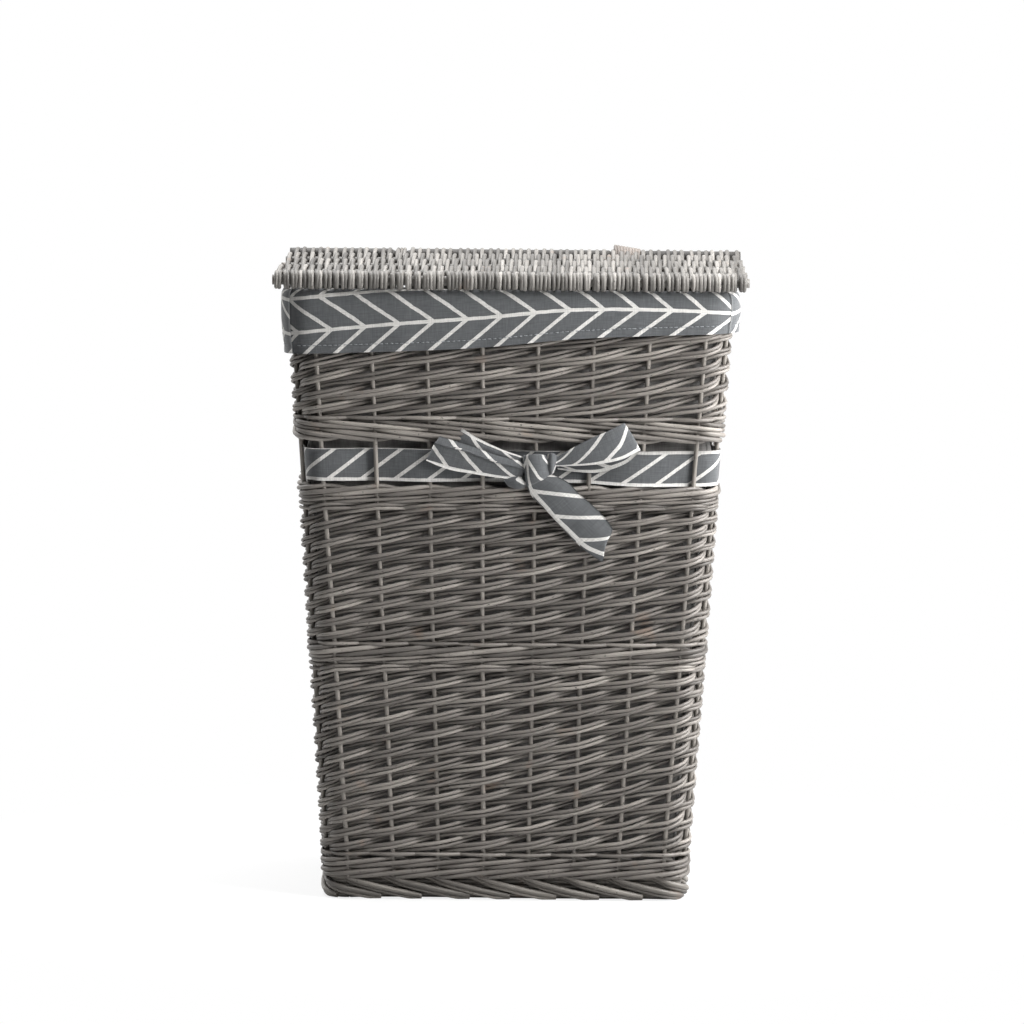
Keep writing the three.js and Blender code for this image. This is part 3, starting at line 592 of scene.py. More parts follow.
def randing(name, node, low, high, seed):
    """A field of pairs of weavers, one pair from every stake."""
    random = np.random.RandomState(seed)
    rows = round((high - low) / (PAIR * ROD_DIAMETER * ROW_PACKING)) - 1
    rise = (high - low) / (rows + 1)
    last = 2.0 * math.ceil((rows + 1) / 2)
    rods = []
    for first, strand in np.ndindex(STAKES, PAIR):
        start = -2.0 * (1 - strand)
        while start < last:
            end = min(last, 2 * round((start + random.uniform(*ROD_LENGTH_BAYS)) / 2))
            place = np.linspace(start, end, round((end - start) * STEPS_IN_A_BAY) + 1)
            stray = WANDER * np.sin(place * random.uniform(1.5, 2.5) + random.uniform(0, 6))
            level = np.clip(place, 0, rows)
            dip = DIP + DIP_SWING * np.sin(around(first + place - LONG_BAYS / 2))
            dip = dip * np.clip(np.minimum(level, rows - level) / 1.5, 0, 1)
            height = low + rise / PAIR * (strand + 0.5) + level * rise + dip * zigzag(place) + stray
            height = height + ARCH * np.clip(np.sin(math.pi * place), 0, 1) * (dip > 0)
            share = np.clip((height - low) / (high - low), 0, 1)
            height = height + row_rise(first + place, share, high - low)
            radius = ROD_DIAMETER / 2 * random.uniform(0.94, 1.05) * np.linspace(1.05, 0.88, len(place))
            offset = woven_offset(place, STAKE_RADIUS + ROD_DIAMETER / 2 + CLEARANCE)
            tone = np.clip(random.normal(0.5, 0.16), 0.05, 0.98)
            rods.append((wall(first + place, height, offset), radius, tone))
            start = end
    made = make_rods(name, rods, WEAVERS)
    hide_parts(node)
    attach(made, "body")
    print(name, rows, "rows,", len(rods), "rods")


def band(node):
    low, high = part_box(node)
    return low[2], high[2]


for name, seed in (("lower_weave", 21), ("middle_weave", 22), ("top_weave", 23)):
    randing(f"{name}_rods", name, *band(name), seed)

# %% [markdown]
# ## Wales
#
# A wale is a round of three stouter rods, each in front of two stakes and behind the third. Every rod
# comes out at the top from behind a stake, slides down under the two that follow it, and goes in again
# at the bottom, so the round looks like a laid rope. The drop is worked out from the stroke: a rod's
# height changes evenly over its three bays and comes back behind the stake, where it can't be seen. Each
# band has two rounds of rods, one stouter than the other. The rounds over the open row slant the other
# way.


# %% Wales
WALE_STRANDS = 3
WALE_STEPS = 7  # points in a bay
WALE_PACKING = 2.05  # a round's height, in thicknesses of its rods
WALE_START, WALE_SHIFT = 14.5, 9  # the bay where the first round starts, and how much further on the next


def wale(node, diameters, climb, seed):
    """Rounds of three rods, upwards. climb is 1 where they climb to the right and -1 where they fall."""
    random = np.random.RandomState(seed)
    low, high = band(node)
    rods = []
    for turn, diameter in enumerate(diameters):
        below = sum(diameters[:turn]) + (diameter - sum(diameters)) / 2
        middle = (low + high) / 2 + WALE_PACKING * below
        for strand in range(WALE_STRANDS):
            place = np.linspace(0, STAKES + 1, (STAKES + 1) * WALE_STEPS)
            stroke = np.mod(place - strand, WALE_STRANDS)
            behind = np.minimum(stroke, WALE_STRANDS - stroke)
            offset = -np.cos(math.pi * np.clip(behind, 0, 1)) * (STAKE_RADIUS + diameter / 2 + CLEARANCE)
            front_run = stroke - 1.5
            back_run = -np.sin(math.pi * np.clip(behind, 0, 0.5)) * np.sign(1.5 - stroke)
            height = middle + climb * diameter * np.where(behind < 0.5, back_run, front_run)
            height = height + 0.0003 * np.sin(place * random.uniform(0.7, 1.1) + random.uniform(0, 6))
            radius = diameter / 2 * random.uniform(0.94, 1.03) * np.linspace(1.03, 0.93, len(place))
            points = wall(turn * WALE_SHIFT + WALE_START + place, height, offset)
            rods.append((points, radius, np.clip(random.normal(0.5, 0.14), 0.1, 0.9)))
    made = make_rods(f"{node}_rods", rods, WEAVERS, sides=10)
    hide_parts(node)
    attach(made, "body")
    print(node, "of rods", [round(diameter * 1000, 1) for diameter in diameters], "mm thick")


wale("bottom_wale", (0.0047, 0.0044), 1, 31)
wale("middle_wale", (0.0034, 0.0045), 1, 32)
wale("gap_wale_low", (0.0031, 0.0045), 1, 33)
wale("gap_wale_high", (0.0049, 0.0040), -1, 34)

# %% [markdown]
# ## Foot border
#
# Below the bottom wale the stake ends are bent down and laid to the right, each with a thinner rod under
# it. They run in front of the next two stakes, slant down to the floor and are cut off there. So the
# foot is a row of overlapping slanted rods with dark gaps over them, and the cut ends show as small pale
# ovals. Behind them five rods go round one over the other, further out at the corners, where the gaps
# would let light through. These are toned dark, the lowest darkest, as painted shade behind the foot.

# %% Foot border
FOOT_ROD = 0.0056
FOOT_BY_ROD, FOOT_BY_DROP = 0.0036, 0.0040  # the thinner rod under each, and how far below it lies
RINGS, RING_ROD = 5, 0.0050
RING_LOW, RING_PITCH = 0.0028, 0.0044  # how high the lowest is, and each above the one below
RING_BACK, RING_SWING = 0.0052, 0.0008  # how far behind the stakes they lie, and every second one more
RING_CORNER, RING_CORNER_BAYS = 0.0048, 0.6  # how far they come out at the corners, and over how many bays
RING_SHIFT = 5  # how many bays on each ring starts
foot_low, foot_high = band("foot_border")
# bays along, share of the foot's height, and how far out, of a stake's end from where it is bent
FOOT_PATH = np.array([
    (-0.30, 1.30, -3.4), (-0.14, 1.16, -2.2), (0.02, 1.02, 0.2), (0.20, 0.90, 2.4), (0.50, 0.74, 4.2),
    (0.82, 0.575, 4.8), (1.14, 0.42, 4.4), (1.44, 0.29, 3.4), (1.68, 0.20, 2.4),
])


def smooth(points, count):
    """A smooth curve through rows of points, along the first axis."""
    points = np.asarray(points, float)
    padded = np.concatenate([2 * points[:1] - points[1:2], points, 2 * points[-1:] - points[-2:-1]])
    spans = len(padded) - 3
    at = np.linspace(0, spans, count)
    start = np.minimum(at.astype(int), spans - 1)
    t = (at - start).reshape((-1,) + (1,) * (points.ndim - 1))
    a, b, c, d = (padded[start + k] for k in range(4))
    return 0.5 * (2 * b + (c - a) * t + (2 * a - 5 * b + 4 * c - d) * t**2 + (3 * b - a - 3 * c + d) * t**3)


random = np.random.RandomState(41)
rods = []
for first in range(STAKES):
    bays, share, out = smooth(FOOT_PATH, 40).T
    bays = bays * random.uniform(0.93, 1.05)
    height = foot_low + share * (foot_high - foot_low) + 0.0004 * random.normal() * np.sin(1.5 * bays)
    thinning = 1.03 - 0.07 * bays
    radius = FOOT_ROD / 2 * thinning * random.uniform(0.95, 1.03)
    tone = np.clip(random.normal(0.5, 0.15), 0.1, 0.9)
    rods.append((wall(first + bays, height, out / 1000), radius, tone))
    radius = FOOT_BY_ROD / 2 * thinning * random.uniform(0.92, 1.05)
    tone = np.clip(random.normal(0.5, 0.15), 0.1, 0.9)
    beside = np.maximum(height - FOOT_BY_DROP, foot_low + radius + 0.0003)
    rods.append((wall(first + bays, beside, out / 1000 - 0.0006), radius, tone))
place = np.linspace(0, STAKES - 0.02, STAKES * 12)
for level in range(RINGS):
    start = RING_SHIFT * level
    height = foot_low + RING_LOW + level * RING_PITCH + 0.0003 * np.sin(place + level)
    beyond = [np.mod(place + start - corner + 0.5 + STAKES / 2, STAKES) - STAKES / 2 for corner in SIDE_STARTS]
    outward = RING_CORNER * np.exp(-((np.abs(beyond).min(axis=0) / RING_CORNER_BAYS) ** 2))
    points = wall(place + start, height, -RING_BACK - RING_SWING * (level % 2) + outward)
    # The rings' dark tones, darkest at the bottom, are painted shade behind the foot rods.
    rods.append((points, RING_ROD / 2, 0.15 + 0.06 * level))
foot = make_rods("foot_border_rods", rods, STICKS, sides=10)
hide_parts("foot_border")
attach(foot, "body")
print("foot border of", len(rods), "rods")

# %% [markdown]
# ## Base and rolled rim
#
# The base is woven flat on stout sticks before the stakes are pushed in beside them. It shows only from
# below. At the top the stakes are bent over and rolled round one another, which makes a rope as thick
# as a finger. The cuff covers it.

# %% Base
base_low, base_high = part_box("base_weave")
base_middle = (base_low[2] + base_high[2]) / 2
BASE_STICK = 0.0040
BASE_WEAVER = 0.0029
BASE_STICK_PITCH = 0.037
BASE_EDGE = 0.003  # how far the weavers stay inside the base's box

random = np.random.RandomState(51)
sticks = np.arange(base_low[0] + 0.014, base_high[0] - 0.008, BASE_STICK_PITCH)
rods = []
for x in sticks:
    ends = [(x, base_low[1] + 0.002, base_middle), (x, base_high[1] - 0.002, base_middle)]
    rods.append((np.linspace(*ends, 3), BASE_STICK / 2, random.uniform(0.4, 0.7)))
base_sticks = make_rods("base_sticks", rods, STICKS)
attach(base_sticks, "body")

rods = []
depth = base_high[1] - base_low[1] - 2 * BASE_EDGE
rows = int(depth / (BASE_WEAVER * 1.08))
swing = min((BASE_STICK + BASE_WEAVER) / 2, (base_high[2] - base_low[2] - BASE_WEAVER) / 2)
for row in range(rows):
    y = base_low[1] + BASE_EDGE + (row + 0.5) * depth / rows
    x = np.linspace(base_low[0] + BASE_EDGE, base_high[0] - BASE_EDGE, 73)
    z = base_middle + swing * np.cos(math.pi * (x - sticks[0]) / BASE_STICK_PITCH) * (-1) ** row
    points = np.stack([x, np.full_like(x, y), z], axis=-1)
    radius = BASE_WEAVER / 2 * random.uniform(0.92, 1.05)
    rods.append((points, radius, np.clip(random.normal(0.5, 0.15), 0.1, 0.9)))
base = make_rods("base_weave_rods", rods, WEAVERS, sides=6)
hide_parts("base_weave")
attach(base, "body")

print("a base of", rows, "rows on", len(sticks), "sticks")

# %% Rolled rim
ROPE_STRANDS, ROPE_TURNS = 4, 37
rim_low, rim_high = band("top_border")
rim_middle = (rim_low + rim_high) / 2
strand_radius = (rim_high - rim_low) / 4.3
rope_radius = strand_radius * 1.12  # from the rope's middle to the middle of a strand
place = np.linspace(0, STAKES, STAKES * 16)
rods = []
for strand in range(ROPE_STRANDS):
    turn = 2 * math.pi * (ROPE_TURNS * place / STAKES + strand / ROPE_STRANDS)
    points = wall(place, rim_middle + rope_radius * np.sin(turn), rope_radius * np.cos(turn))
    rods.append((points, strand_radius, 0.35 + 0.1 * strand))
rim = make_rods("top_border_rods", rods, STICKS)
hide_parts("top_border")
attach(rim, "body")
print("a rope of", ROPE_STRANDS, "strands round the rim")

# %% [markdown]
# ## Lid
#
# Five sticks run the long way, the outer two stouter. The weavers go from front to back over and under
# them, each opposite to its neighbour, and each one wraps right round the outer sticks before it ends
# below. So the front of the lid is a close row of short upright wraps that lean together in twos and
# threes, and the top is a bumpy field in which the three inner sticks make three rows of dips. The back
# of the lid has slipped a little to the right. Its stick is stouter, and the weavers are pressed on it. The
# stick is coloured near black as painted shade, for the shade in the gaps between its wraps. Two slots
# are left round it for the bindings.

# %% Lid sticks
LID_LEAN = 0.006  # how much further right the back of the lid lies than its front
STICK_INSET = 0.0032  # from the end of a stick's box to the end of the stick
BACK_EXTRA = 0.0022  # the back stick is stouter by this, except in the slots
HINGE_SLOTS = ((-0.106, 0.0070), (0.1165, 0.0140))  # the middle and half the width of each
lid_sticks = sorted(node for node in nodes if node.startswith("lid_stick_"))
lid_front, lid_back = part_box("lid_stick_front")[0][1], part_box("lid_stick_back")[1][1]
random = np.random.RandomState(61)
axes = {}
for name in lid_sticks:
    low, high = (Vector(corner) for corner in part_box(name))
    middle, radius = (low + high) / 2, (high.z - low.z) / 2
    axes[name] = (middle.y, middle.z, radius)
    lean = LID_LEAN * (middle.y - lid_front) / (lid_back - lid_front)
    x = np.linspace(low.x + STICK_INSET, high.x - STICK_INSET, 121) + lean
    sway = 0.0004 * np.sin(x * 31 + random.uniform(0, 6))
    points = np.stack([x, middle.y + sway, middle.z + 0 * x], axis=-1)
    radius = radius * np.linspace(1.0, 0.93, len(x))
    finish = lid_willow
    # The back stick gets near-black willow: painted shade for the gaps between its wraps.
    if name == "lid_stick_back":
        finish = painted_shade_willow
        to_slot = np.min([np.abs(x - place) - half_slot for place, half_slot in HINGE_SLOTS], axis=0)
        radius = radius + BACK_EXTRA * np.clip(to_slot / 0.003, 0, 1)
    rods = [(points, radius, random.uniform(0.4, 0.7))]
    stick = make_rods(f"{name}_rod", rods, [finish, cut_willow], sides=12)
    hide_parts(name)
    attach(stick, "lid")
print(len(lid_sticks), "lid sticks")

# %% Lid weave
LID_WEAVER = 0.0038
BACK_SINK = 0.0008  # how far the weavers are pressed on the back stick
PAIRING = 0.0005  # how far a weaver leans to its neighbour where it wraps round the front
SLOT_DEPTH = 0.013  # how far before the back stick the weavers at a slot end
back_y, lid_z, edge_radius = axes["lid_stick_back"]
front_y = axes["lid_stick_front"][0]
inner_radius = axes["lid_stick_inner_2"][2]
lid_low, lid_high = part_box("lid_weave")
edge_reach = edge_radius + LID_WEAVER / 2 + 0.00005
inner_reach = inner_radius + LID_WEAVER / 2 + 0.0001
rows = round((lid_high[0] - lid_low[0]) / LID_WEAVER)
rods = []
for row in range(rows):
    sign = 1 if row % 2 else -1
    if row % 3 == 0:
        gather = random.normal(0, 0.0005)
    x = lid_low[0] + (row + 0.5) * (lid_high[0] - lid_low[0]) / rows
    x = x + random.normal(0, 0.00025) + gather
    slotted = any(abs(x + LID_LEAN - place) < half_slot for place, half_slot in HINGE_SLOTS)
    y = np.linspace(back_y - SLOT_DEPTH if slotted else back_y, front_y, 41)
    over = sign * np.cos(math.pi * 4 * (back_y - y) / (back_y - front_y))
    reach = inner_reach + (edge_reach - inner_reach) * np.abs(2 * y / (back_y - front_y)) ** 4
    reach = reach - BACK_SINK * np.clip((y - back_y + 0.03) / 0.03, 0, 1)
    z = lid_z + reach * over + random.normal(0, 0.0002)
    wrap_end = math.radians(random.uniform(55, 120))
    turn = np.linspace(math.pi / 2, -wrap_end, 9)[1:]
    wrap = edge_reach + random.uniform(-0.0001, 0.0006)
    front_wrap = np.stack([front_y - wrap * np.cos(turn), lid_z + sign * wrap * np.sin(turn)], axis=-1)
    path = np.concatenate([np.stack([y, z], axis=-1), front_wrap])
    if not slotted:
        if sign < 0:
            turn = np.linspace(math.pi / 2, 0.35, 5)[1:]
        back_reach = edge_reach - BACK_SINK
        back_wrap = [back_y + back_reach * np.cos(turn), lid_z + sign * back_reach * np.sin(turn)]
        path = np.concatenate([np.stack(back_wrap, axis=-1)[::-1], path])
    lean = LID_LEAN * (path[:, 0] - front_y) / (back_y - front_y)
    skew = 0.0006 * np.sin(np.linspace(0, 9, len(path)) + random.uniform(0, 6))
    at_front = np.clip((front_y + 0.004 - path[:, 0]) / 0.004, 0, 1)
    points = np.column_stack([x + lean + skew - sign * PAIRING * at_front, path])
    on_top = np.clip((path[:, 1] - lid_z) / edge_reach, 0, 1)
    radius = LID_WEAVER / 2 * random.uniform(0.92, 1.06) * (1 + 0.22 * on_top) * (1 + 0.08 * at_front)
    rods.append((points, radius, np.clip(random.normal(0.5, 0.15), 0.05, 0.95)))
lid_weave = make_rods("lid_weave_rods", rods, [lid_willow, cut_willow], up=(1, 0, 0))
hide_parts("lid_weave")
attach(lid_weave, "lid")
print("lid of", rows, "rows on", len(lid_sticks), "sticks")

# %% [markdown]
# ## Hinge loops
#
# The lid hangs on two bindings, and its back stick turns in them. The left one is three turns of stained
# willow. The right one is nine close turns of paler split cane, which slope down to the right. The path
# is two arcs and the two straight runs between them, as a belt round two pulleys.

# %% Hinge bindings
LEFT_ROD = 0.0031
RIGHT_ROD, RIGHT_SHIFT, RIGHT_LIFT = 0.0036, 0.0105, 0.0040  # how stout, how far to the right and how high
RIM_BACK = 0.1505  # where the rim's middle runs at the back
loop_x = [sum(corner[0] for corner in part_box(f"hinge_loop_{side}")) / 2 for side in ("left", "right")]


def belt(centre_a, radius_a, centre_b, radius_b, steps=16):
    """A closed belt round two circles, as y and z."""
    line = np.subtract(centre_b, centre_a)
    facing = math.atan2(line[1], line[0])
    spread = math.acos((radius_a - radius_b) / np.linalg.norm(line))
    arcs = []
    for centre, radius, start, end in (
        (centre_a, radius_a, facing + spread, facing + 2 * math.pi - spread),
        (centre_b, radius_b, facing - spread, facing + spread),
    ):
        angle = np.linspace(start, end, steps)
        arcs.append(np.stack([centre[0] + radius * np.cos(angle), centre[1] + radius * np.sin(angle)], axis=-1))
    return np.concatenate(arcs)


for name, x, turns, cane, rod, pitch, slope in (
    ("hinge_loop_left", loop_x[0], 3, stake_willow, LEFT_ROD, 1.03 * LEFT_ROD, 0),
    ("hinge_loop_right", loop_x[1] + RIGHT_SHIFT, 9, bare_cane, RIGHT_ROD, 0.8 * RIGHT_ROD, RIGHT_LIFT),
):
    low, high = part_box(name)
    thicker = rod / 2 - LEFT_ROD
    stick_reach, rim_reach = high[2] - lid_z + thicker, RIM_BACK - low[1] + thicker
    rods = []
    for turn in range(turns):
        lift = slope * (1 - turn / turns)
        path = belt((RIM_BACK, rim_middle), rim_reach, (back_y, lid_z), stick_reach + lift)
        place = np.full(len(path), x + (turn - (turns - 1) / 2) * pitch)
        rods.append((np.column_stack([place, path]), rod / 2, 0.35 + 0.04 * turn if turn else 0.1))
    loop = make_rods(f"{name}_binding", rods, [cane, cut_willow], up=(1, 0, 0), closed=True)
    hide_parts(name)
    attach(loop, "body")
print("two bindings, of three turns and of nine")

# %% [markdown]
# ## Sheets of cloth
#
# Every piece of cloth is a thin shell with a front, a back and cut edges. It starts as a grid of points
# on the middle of the cloth with U and V in metres of flat cloth, and gets its thickness from the grid's
# own normals. The reverse of a printed cotton is plain, so the back has its own material.

# %% A sheet from a grid
CLOTH = 0.0011


def grid_normals(grid, closed=False):
    if closed:
        along = np.roll(grid, -1, axis=0) - np.roll(grid, 1, axis=0)
    else:
        along = np.gradient(grid, axis=0)
    return unit(np.cross(along, np.gradient(grid, axis=1)))


def make_sheet(name, grid, uv, materials, closed=False, gaps=None):
    """Cloth on a grid of points. Its front is where along x across points. gaps marks cells left out."""
    rows, columns = grid.shape[:2]
    half = grid_normals(grid, closed) * CLOTH / 2
    vertices = np.concatenate([(grid + half).reshape(-1, 3), (grid - half).reshape(-1, 3)])
    count = rows * columns
    spans = rows if closed else rows - 1
    i, j = np.meshgrid(np.arange(spans), np.arange(columns - 1), indexing="ij")
    keep = np.ones(i.shape, bool) if gaps is None else ~gaps

    def corner(down, right):
        return (i + down) % rows * columns + j + right

    corners = [(0, 0), (1, 0), (1, 1), (0, 1)]
    front = np.stack([corner(*at) for at in corners], axis=-1)[keep]
    front_uv = np.stack([uv[i + down, j + right] for down, right in corners], axis=2)[keep]
    faces, uvs = [front, front[:, ::-1] + count], [front_uv, front_uv[:, ::-1]]
    padded = np.zeros((spans + 2, columns + 1), bool)
    padded[1:-1, 1:-1] = keep
    if closed:
        padded[0], padded[-1] = padded[-2], padded[1]
    # Where a cell has no neighbour on one of its four sides, a narrow face joins the front to the back.
    for (down, right), first, second in (
        ((-1, 0), (0, 1), (0, 0)), ((1, 0), (1, 0), (1, 1)),
        ((0, -1), (0, 0), (1, 0)), ((0, 1), (1, 1), (0, 1)),
    ):
        edge = keep & ~padded[1 + down : spans + 1 + down, 1 + right : columns + right]
        a, b = corner(*first)[edge], corner(*second)[edge]
        faces.append(np.stack([a, b, b + count, a + count], axis=-1))
        at_a, at_b = (uv[i[edge] + at[0], j[edge] + at[1]] for at in (first, second))
        uvs.append(np.stack([at_a, at_b, at_b, at_a], axis=1))
    slots = np.concatenate([np.zeros(len(front), int), np.ones(sum(map(len, faces[1:])), int)])
    faces = np.concatenate(faces)
    return make_piece(
        name, vertices, faces.ravel(), 4 * np.arange(len(faces)), materials,
        np.concatenate(uvs).reshape(-1, 2), slots=slots,
    )


print("cloth is drawn", CLOTH * 1000, "mm thick")


# %% Lengths on a grid
def lengths(grid, axis):
    """How far each point lies along the grid, from its own edge."""
    steps = np.linalg.norm(np.diff(grid, axis=axis), axis=-1)
    first = np.zeros_like(np.take(steps, [0], axis=axis))
    return np.cumsum(np.concatenate([first, steps], axis=axis), axis=axis)


print("U and V come from lengths on the grid, so a print keeps its size on every sheet")

# %% [markdown]
# ## Liner
#
# The liner is four panels sewn together at the corners and to a base. It hangs from the rim by its own
# top, a little larger than the hamper, so the spare cloth stands in soft upright folds that fade out
# towards the corner seams and the top.

# %% Liner
LINING_OFFSET = 0.0083
OPEN_ROW_BULGE = 0.0036  # the lining bellies out between the stakes of the open row
FOLD_DEPTH = 0.0030
PANEL_END = 0.497  # a panel goes on for so many bays past its last stake, almost to the corner's middle
liner_low, liner_high = band("liner_front")
open_low, open_high = band("gap_wale_low")[1], band("gap_wale_high")[0]
slit_low = min(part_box(name)[0][2] for name in ("hinge_loop_left", "hinge_loop_right")) - 0.0006
SLIT_HALF_WIDTH = 0.0054  # the slits at the back let the two bindings through


def panel_places(number, steps_in_a_bay):
    """Where along the wall a panel's columns stand, with columns at the sides of the hinge slits."""
    first = SIDE_STARTS[number]
    bays = SIDE_BAYS[number]
    places = np.linspace(first - PANEL_END, first + bays + PANEL_END, (bays + 1) * steps_in_a_bay + 1)
    if SIDES[number] != "back":
        return places, np.zeros(len(places) - 1, bool)
    straight = side_head[0] - CORNER_RADIUS
    cuts = [first + bays * (0.5 - x / (2 * straight)) for x in loop_x]
    half_cut = SLIT_HALF_WIDTH * bays / (2 * straight)
    kept = [place for place in places if all(abs(place - cut) > half_cut * 1.25 for cut in cuts)]
    places = np.sort(np.concatenate([kept, [cut + side * half_cut for cut in cuts for side in (-1, 1)]]))
    middles = (places[1:] + places[:-1]) / 2
    return places, np.min([np.abs(middles - cut) for cut in cuts], axis=0) < half_cut


random = np.random.RandomState(71)
for number, side in enumerate(SIDES):
    places, slit = panel_places(number, 14)
    heights = np.linspace(liner_low + 0.0006, liner_high, 56)
    share = (places - places[0]) / (places[-1] - places[0])
    fade = np.sin(math.pi * np.clip(share, 0, 1)) ** 0.4
    waves = (random.randint(5, 8), 0.55), (random.randint(10, 14), 0.3), (random.randint(17, 23), 0.15)
    folds = sum(np.sin(2 * math.pi * (share * count + random.rand())) * weight for count, weight in waves)
    level = (heights - heights[0]) / (heights[-1] - heights[0])
    drift = np.sin(4 * level[:, None] + 9 * share[None]) * 0.25
    depth = FOLD_DEPTH * (0.5 + 0.5 * (folds[None] + drift)) * fade[None] * (1 - 0.8 * level[:, None] ** 6)
    opening = np.clip((heights - open_low) / (open_high - open_low), 0, 1)
    belly = np.sin(math.pi * opening[:, None]) ** 0.6
    offset = OPEN_ROW_BULGE * belly - LINING_OFFSET - np.clip(depth, 0, None) * (1 - 0.6 * belly)
    grid = wall(places[None], heights[:, None], offset)
    uv = np.stack(np.broadcast_arrays(lengths(grid, 1)[len(heights) // 2][None], heights[:, None]), axis=-1)
    gaps = slit[None] & (heights[1:, None] > slit_low)
    cloths = [plain_cotton, plain_cotton]
    panel = make_sheet(f"liner_{side}_cloth", grid[:, ::-1], uv[:, ::-1], cloths, gaps=gaps[:, ::-1])
    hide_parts(f"liner_{side}")
    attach(panel, "body")
print("four liner panels")

# %% Liner base
low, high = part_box("liner_base")
across, along = (np.linspace(low[i] + 0.001, high[i] - 0.001, count) for i, count in ((0, 48), (1, 34)))
x, y = np.meshgrid(across, along, indexing="ij")
ripple = 0.0006 * (np.sin(x * 41 + 1.3 * np.sin(y * 37)) + np.sin(y * 53 + x * 19))
z = low[2] + 0.0012 + np.clip(ripple, -0.0006, 0.0012)
grid = np.stack([x, y, z], axis=-1)
liner_base = make_sheet("liner_base_cloth", grid, grid[..., :2], [plain_cotton, plain_cotton])
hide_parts("liner_base")
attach(liner_base, "body")

# %% [markdown]
# ## Printed cuff
#
# The top of the liner is turned over the rim, and the printed cotton shows outside. It has a hem, so
# its lower edge is double: it stands out a little from the wicker and is held in along the line of
# stitches. The hem isn't level. It climbs from the left to the right of the front, and is pulled up a
# little more near the right corner. A straight run of the print goes across above it, and the slanting
# lines point to the right at that run.

# %% Cuff
CUFF_OUTSIDE = 0.78  # the share of the cuff that hangs outside; the rest goes over the rim
HANGING_ROWS, ROLLED_ROWS = 30, 13  # the rows of points in each of the two
CUFF_REACH = 0.0089  # how far outside the stakes it hangs, and inside them it ends
CUFF_ROLL, CUFF_ROLL_RISE = 0.0072, 0.0066  # how far below its top it starts to turn, and how high it rises
CUFF_BULGE, CUFF_HELD, CUFF_FLARE = 0.0018, 0.0007, 0.0010  # fullness, held in at the stitches, and the hem
HEM_TO_STITCHES = 0.0076
HEM_MIDDLE, HEM_SWING = 0.5300, 0.0105
HEM_PULL, HEM_PULL_FROM, HEM_PULL_TO = 0.0062, 3.8, 8.8  # how far, and over which bays, it is pulled up
PRINT_ABOVE_HEM, PRINT_SAG = 0.0285, 0.0070  # where the print's straight run is, and how far it sags
CUFF_PRINT, CUFF_PRINT_STEP = 0.0232, 0.011  # where the print starts on the front, and on each next side
STITCH, STITCH_PITCH, STITCH_THREAD = 0.0032, 0.0048, 0.00036
SEAM_REACH = 0.009  # how far outside the stakes the row of stitches is measured
cuff_high = band("cuff_front")[1]


def hem_height(place):
    level = HEM_MIDDLE + HEM_SWING * np.sin(around(place - LONG_BAYS / 2))
    pulled = 1 / (1 + np.exp((HEM_PULL_FROM - place) * 2.5)) / (1 + np.exp((place - HEM_PULL_TO) * 2.5))
    return level + HEM_PULL * pulled


def cuff_profile(place, t, waves):
    """Offset and height of the cuff at t from 0 at the hem to 1 inside the rim."""
    hem = hem_height(place)
    outside = np.clip(t / CUFF_OUTSIDE, 0, 1)
    over = np.clip((t - CUFF_OUTSIDE) / (1 - CUFF_OUTSIDE), 0, 1) * math.pi
    shoulder = cuff_high - CUFF_ROLL
    height = hem + (shoulder - hem) * outside
    below = height - hem
    bulge = CUFF_BULGE * np.sin(math.pi * outside) ** 0.8
    held = -CUFF_HELD * np.exp(-(((below - HEM_TO_STITCHES) / 0.0022) ** 2))
    flare = CUFF_FLARE * np.exp(-below / 0.006)
    offset = CUFF_REACH + bulge + held + flare + waves * (1 - outside) * 0.0011
    offset = np.where(over > 0, CUFF_REACH * np.cos(over), offset)
    height = np.where(over > 0, shoulder + CUFF_ROLL_RISE * np.sin(over), height)
    return offset, height


random = np.random.RandomState(81)
for number, side in enumerate(SIDES):
    places, slit = panel_places(number, 16)
    t = np.linspace(0, CUFF_OUTSIDE, HANGING_ROWS)
    t = np.concatenate([t, np.linspace(CUFF_OUTSIDE, 1.0, ROLLED_ROWS)[1:]])
    share = (places - places[0]) / (places[-1] - places[0])
    waves = ((3.3, 0.5), (7.7, 0.3), (13.1, 0.2))
    waves = sum(np.sin(2 * math.pi * (share * count + random.rand())) * weight for count, weight in waves)
    offset, height = cuff_profile(places[None], t[:, None], waves[None])
    grid = wall(places[None], height, offset)
    across = lengths(grid, 0)
    middle = (places - SIDE_STARTS[number] - SIDE_BAYS[number] / 2) / (SIDE_BAYS[number] / 2)
    v = across - PRINT_ABOVE_HEM + PRINT_SAG * middle[None] ** 2
    u = lengths(grid, 1)[HANGING_ROWS // 2][None] + CUFF_PRINT + CUFF_PRINT_STEP * number
    uv = np.stack(np.broadcast_arrays(u, v), axis=-1)
    gaps = slit[None] & (height[1:, :1] > slit_low)
    cloths = [printed_cotton, plain_cotton]
    sheet = make_sheet(f"cuff_{side}_cloth", grid[:, ::-1], uv[:, ::-1], cloths, gaps=gaps[:, ::-1])
    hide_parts(f"cuff_{side}")
    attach(sheet, "body")
    stitches = []
    reach = lengths(wall(places, HEM_MIDDLE, SEAM_REACH), 0)
    for start in np.arange(0.006, reach[-1] - 0.008, STITCH_PITCH):
        at = np.interp(start + np.linspace(0, STITCH, 5), reach, places)
        hang = cuff_high - CUFF_ROLL - hem_height(at).mean()
        offset, height = cuff_profile(
            at, np.full(5, CUFF_OUTSIDE * HEM_TO_STITCHES / hang), np.interp(at, places, waves)
        )
        rise = CLOTH / 2 + np.array([-0.0002, 0.0003, 0.0004, 0.0003, -0.0002])
        stitches.append((wall(at, height, offset + rise), STITCH_THREAD, 0.5))
    seam = make_rods(f"cuff_{side}_stitches", stitches, [hem_thread, hem_thread], sides=5)
    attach(seam, "body")
    width, length = float(lengths(grid, 1)[:, -1].mean()), float(across[-1].mean())
print("four cuff panels, each about", round(length * 1000), "mm from hem to inside the rim")

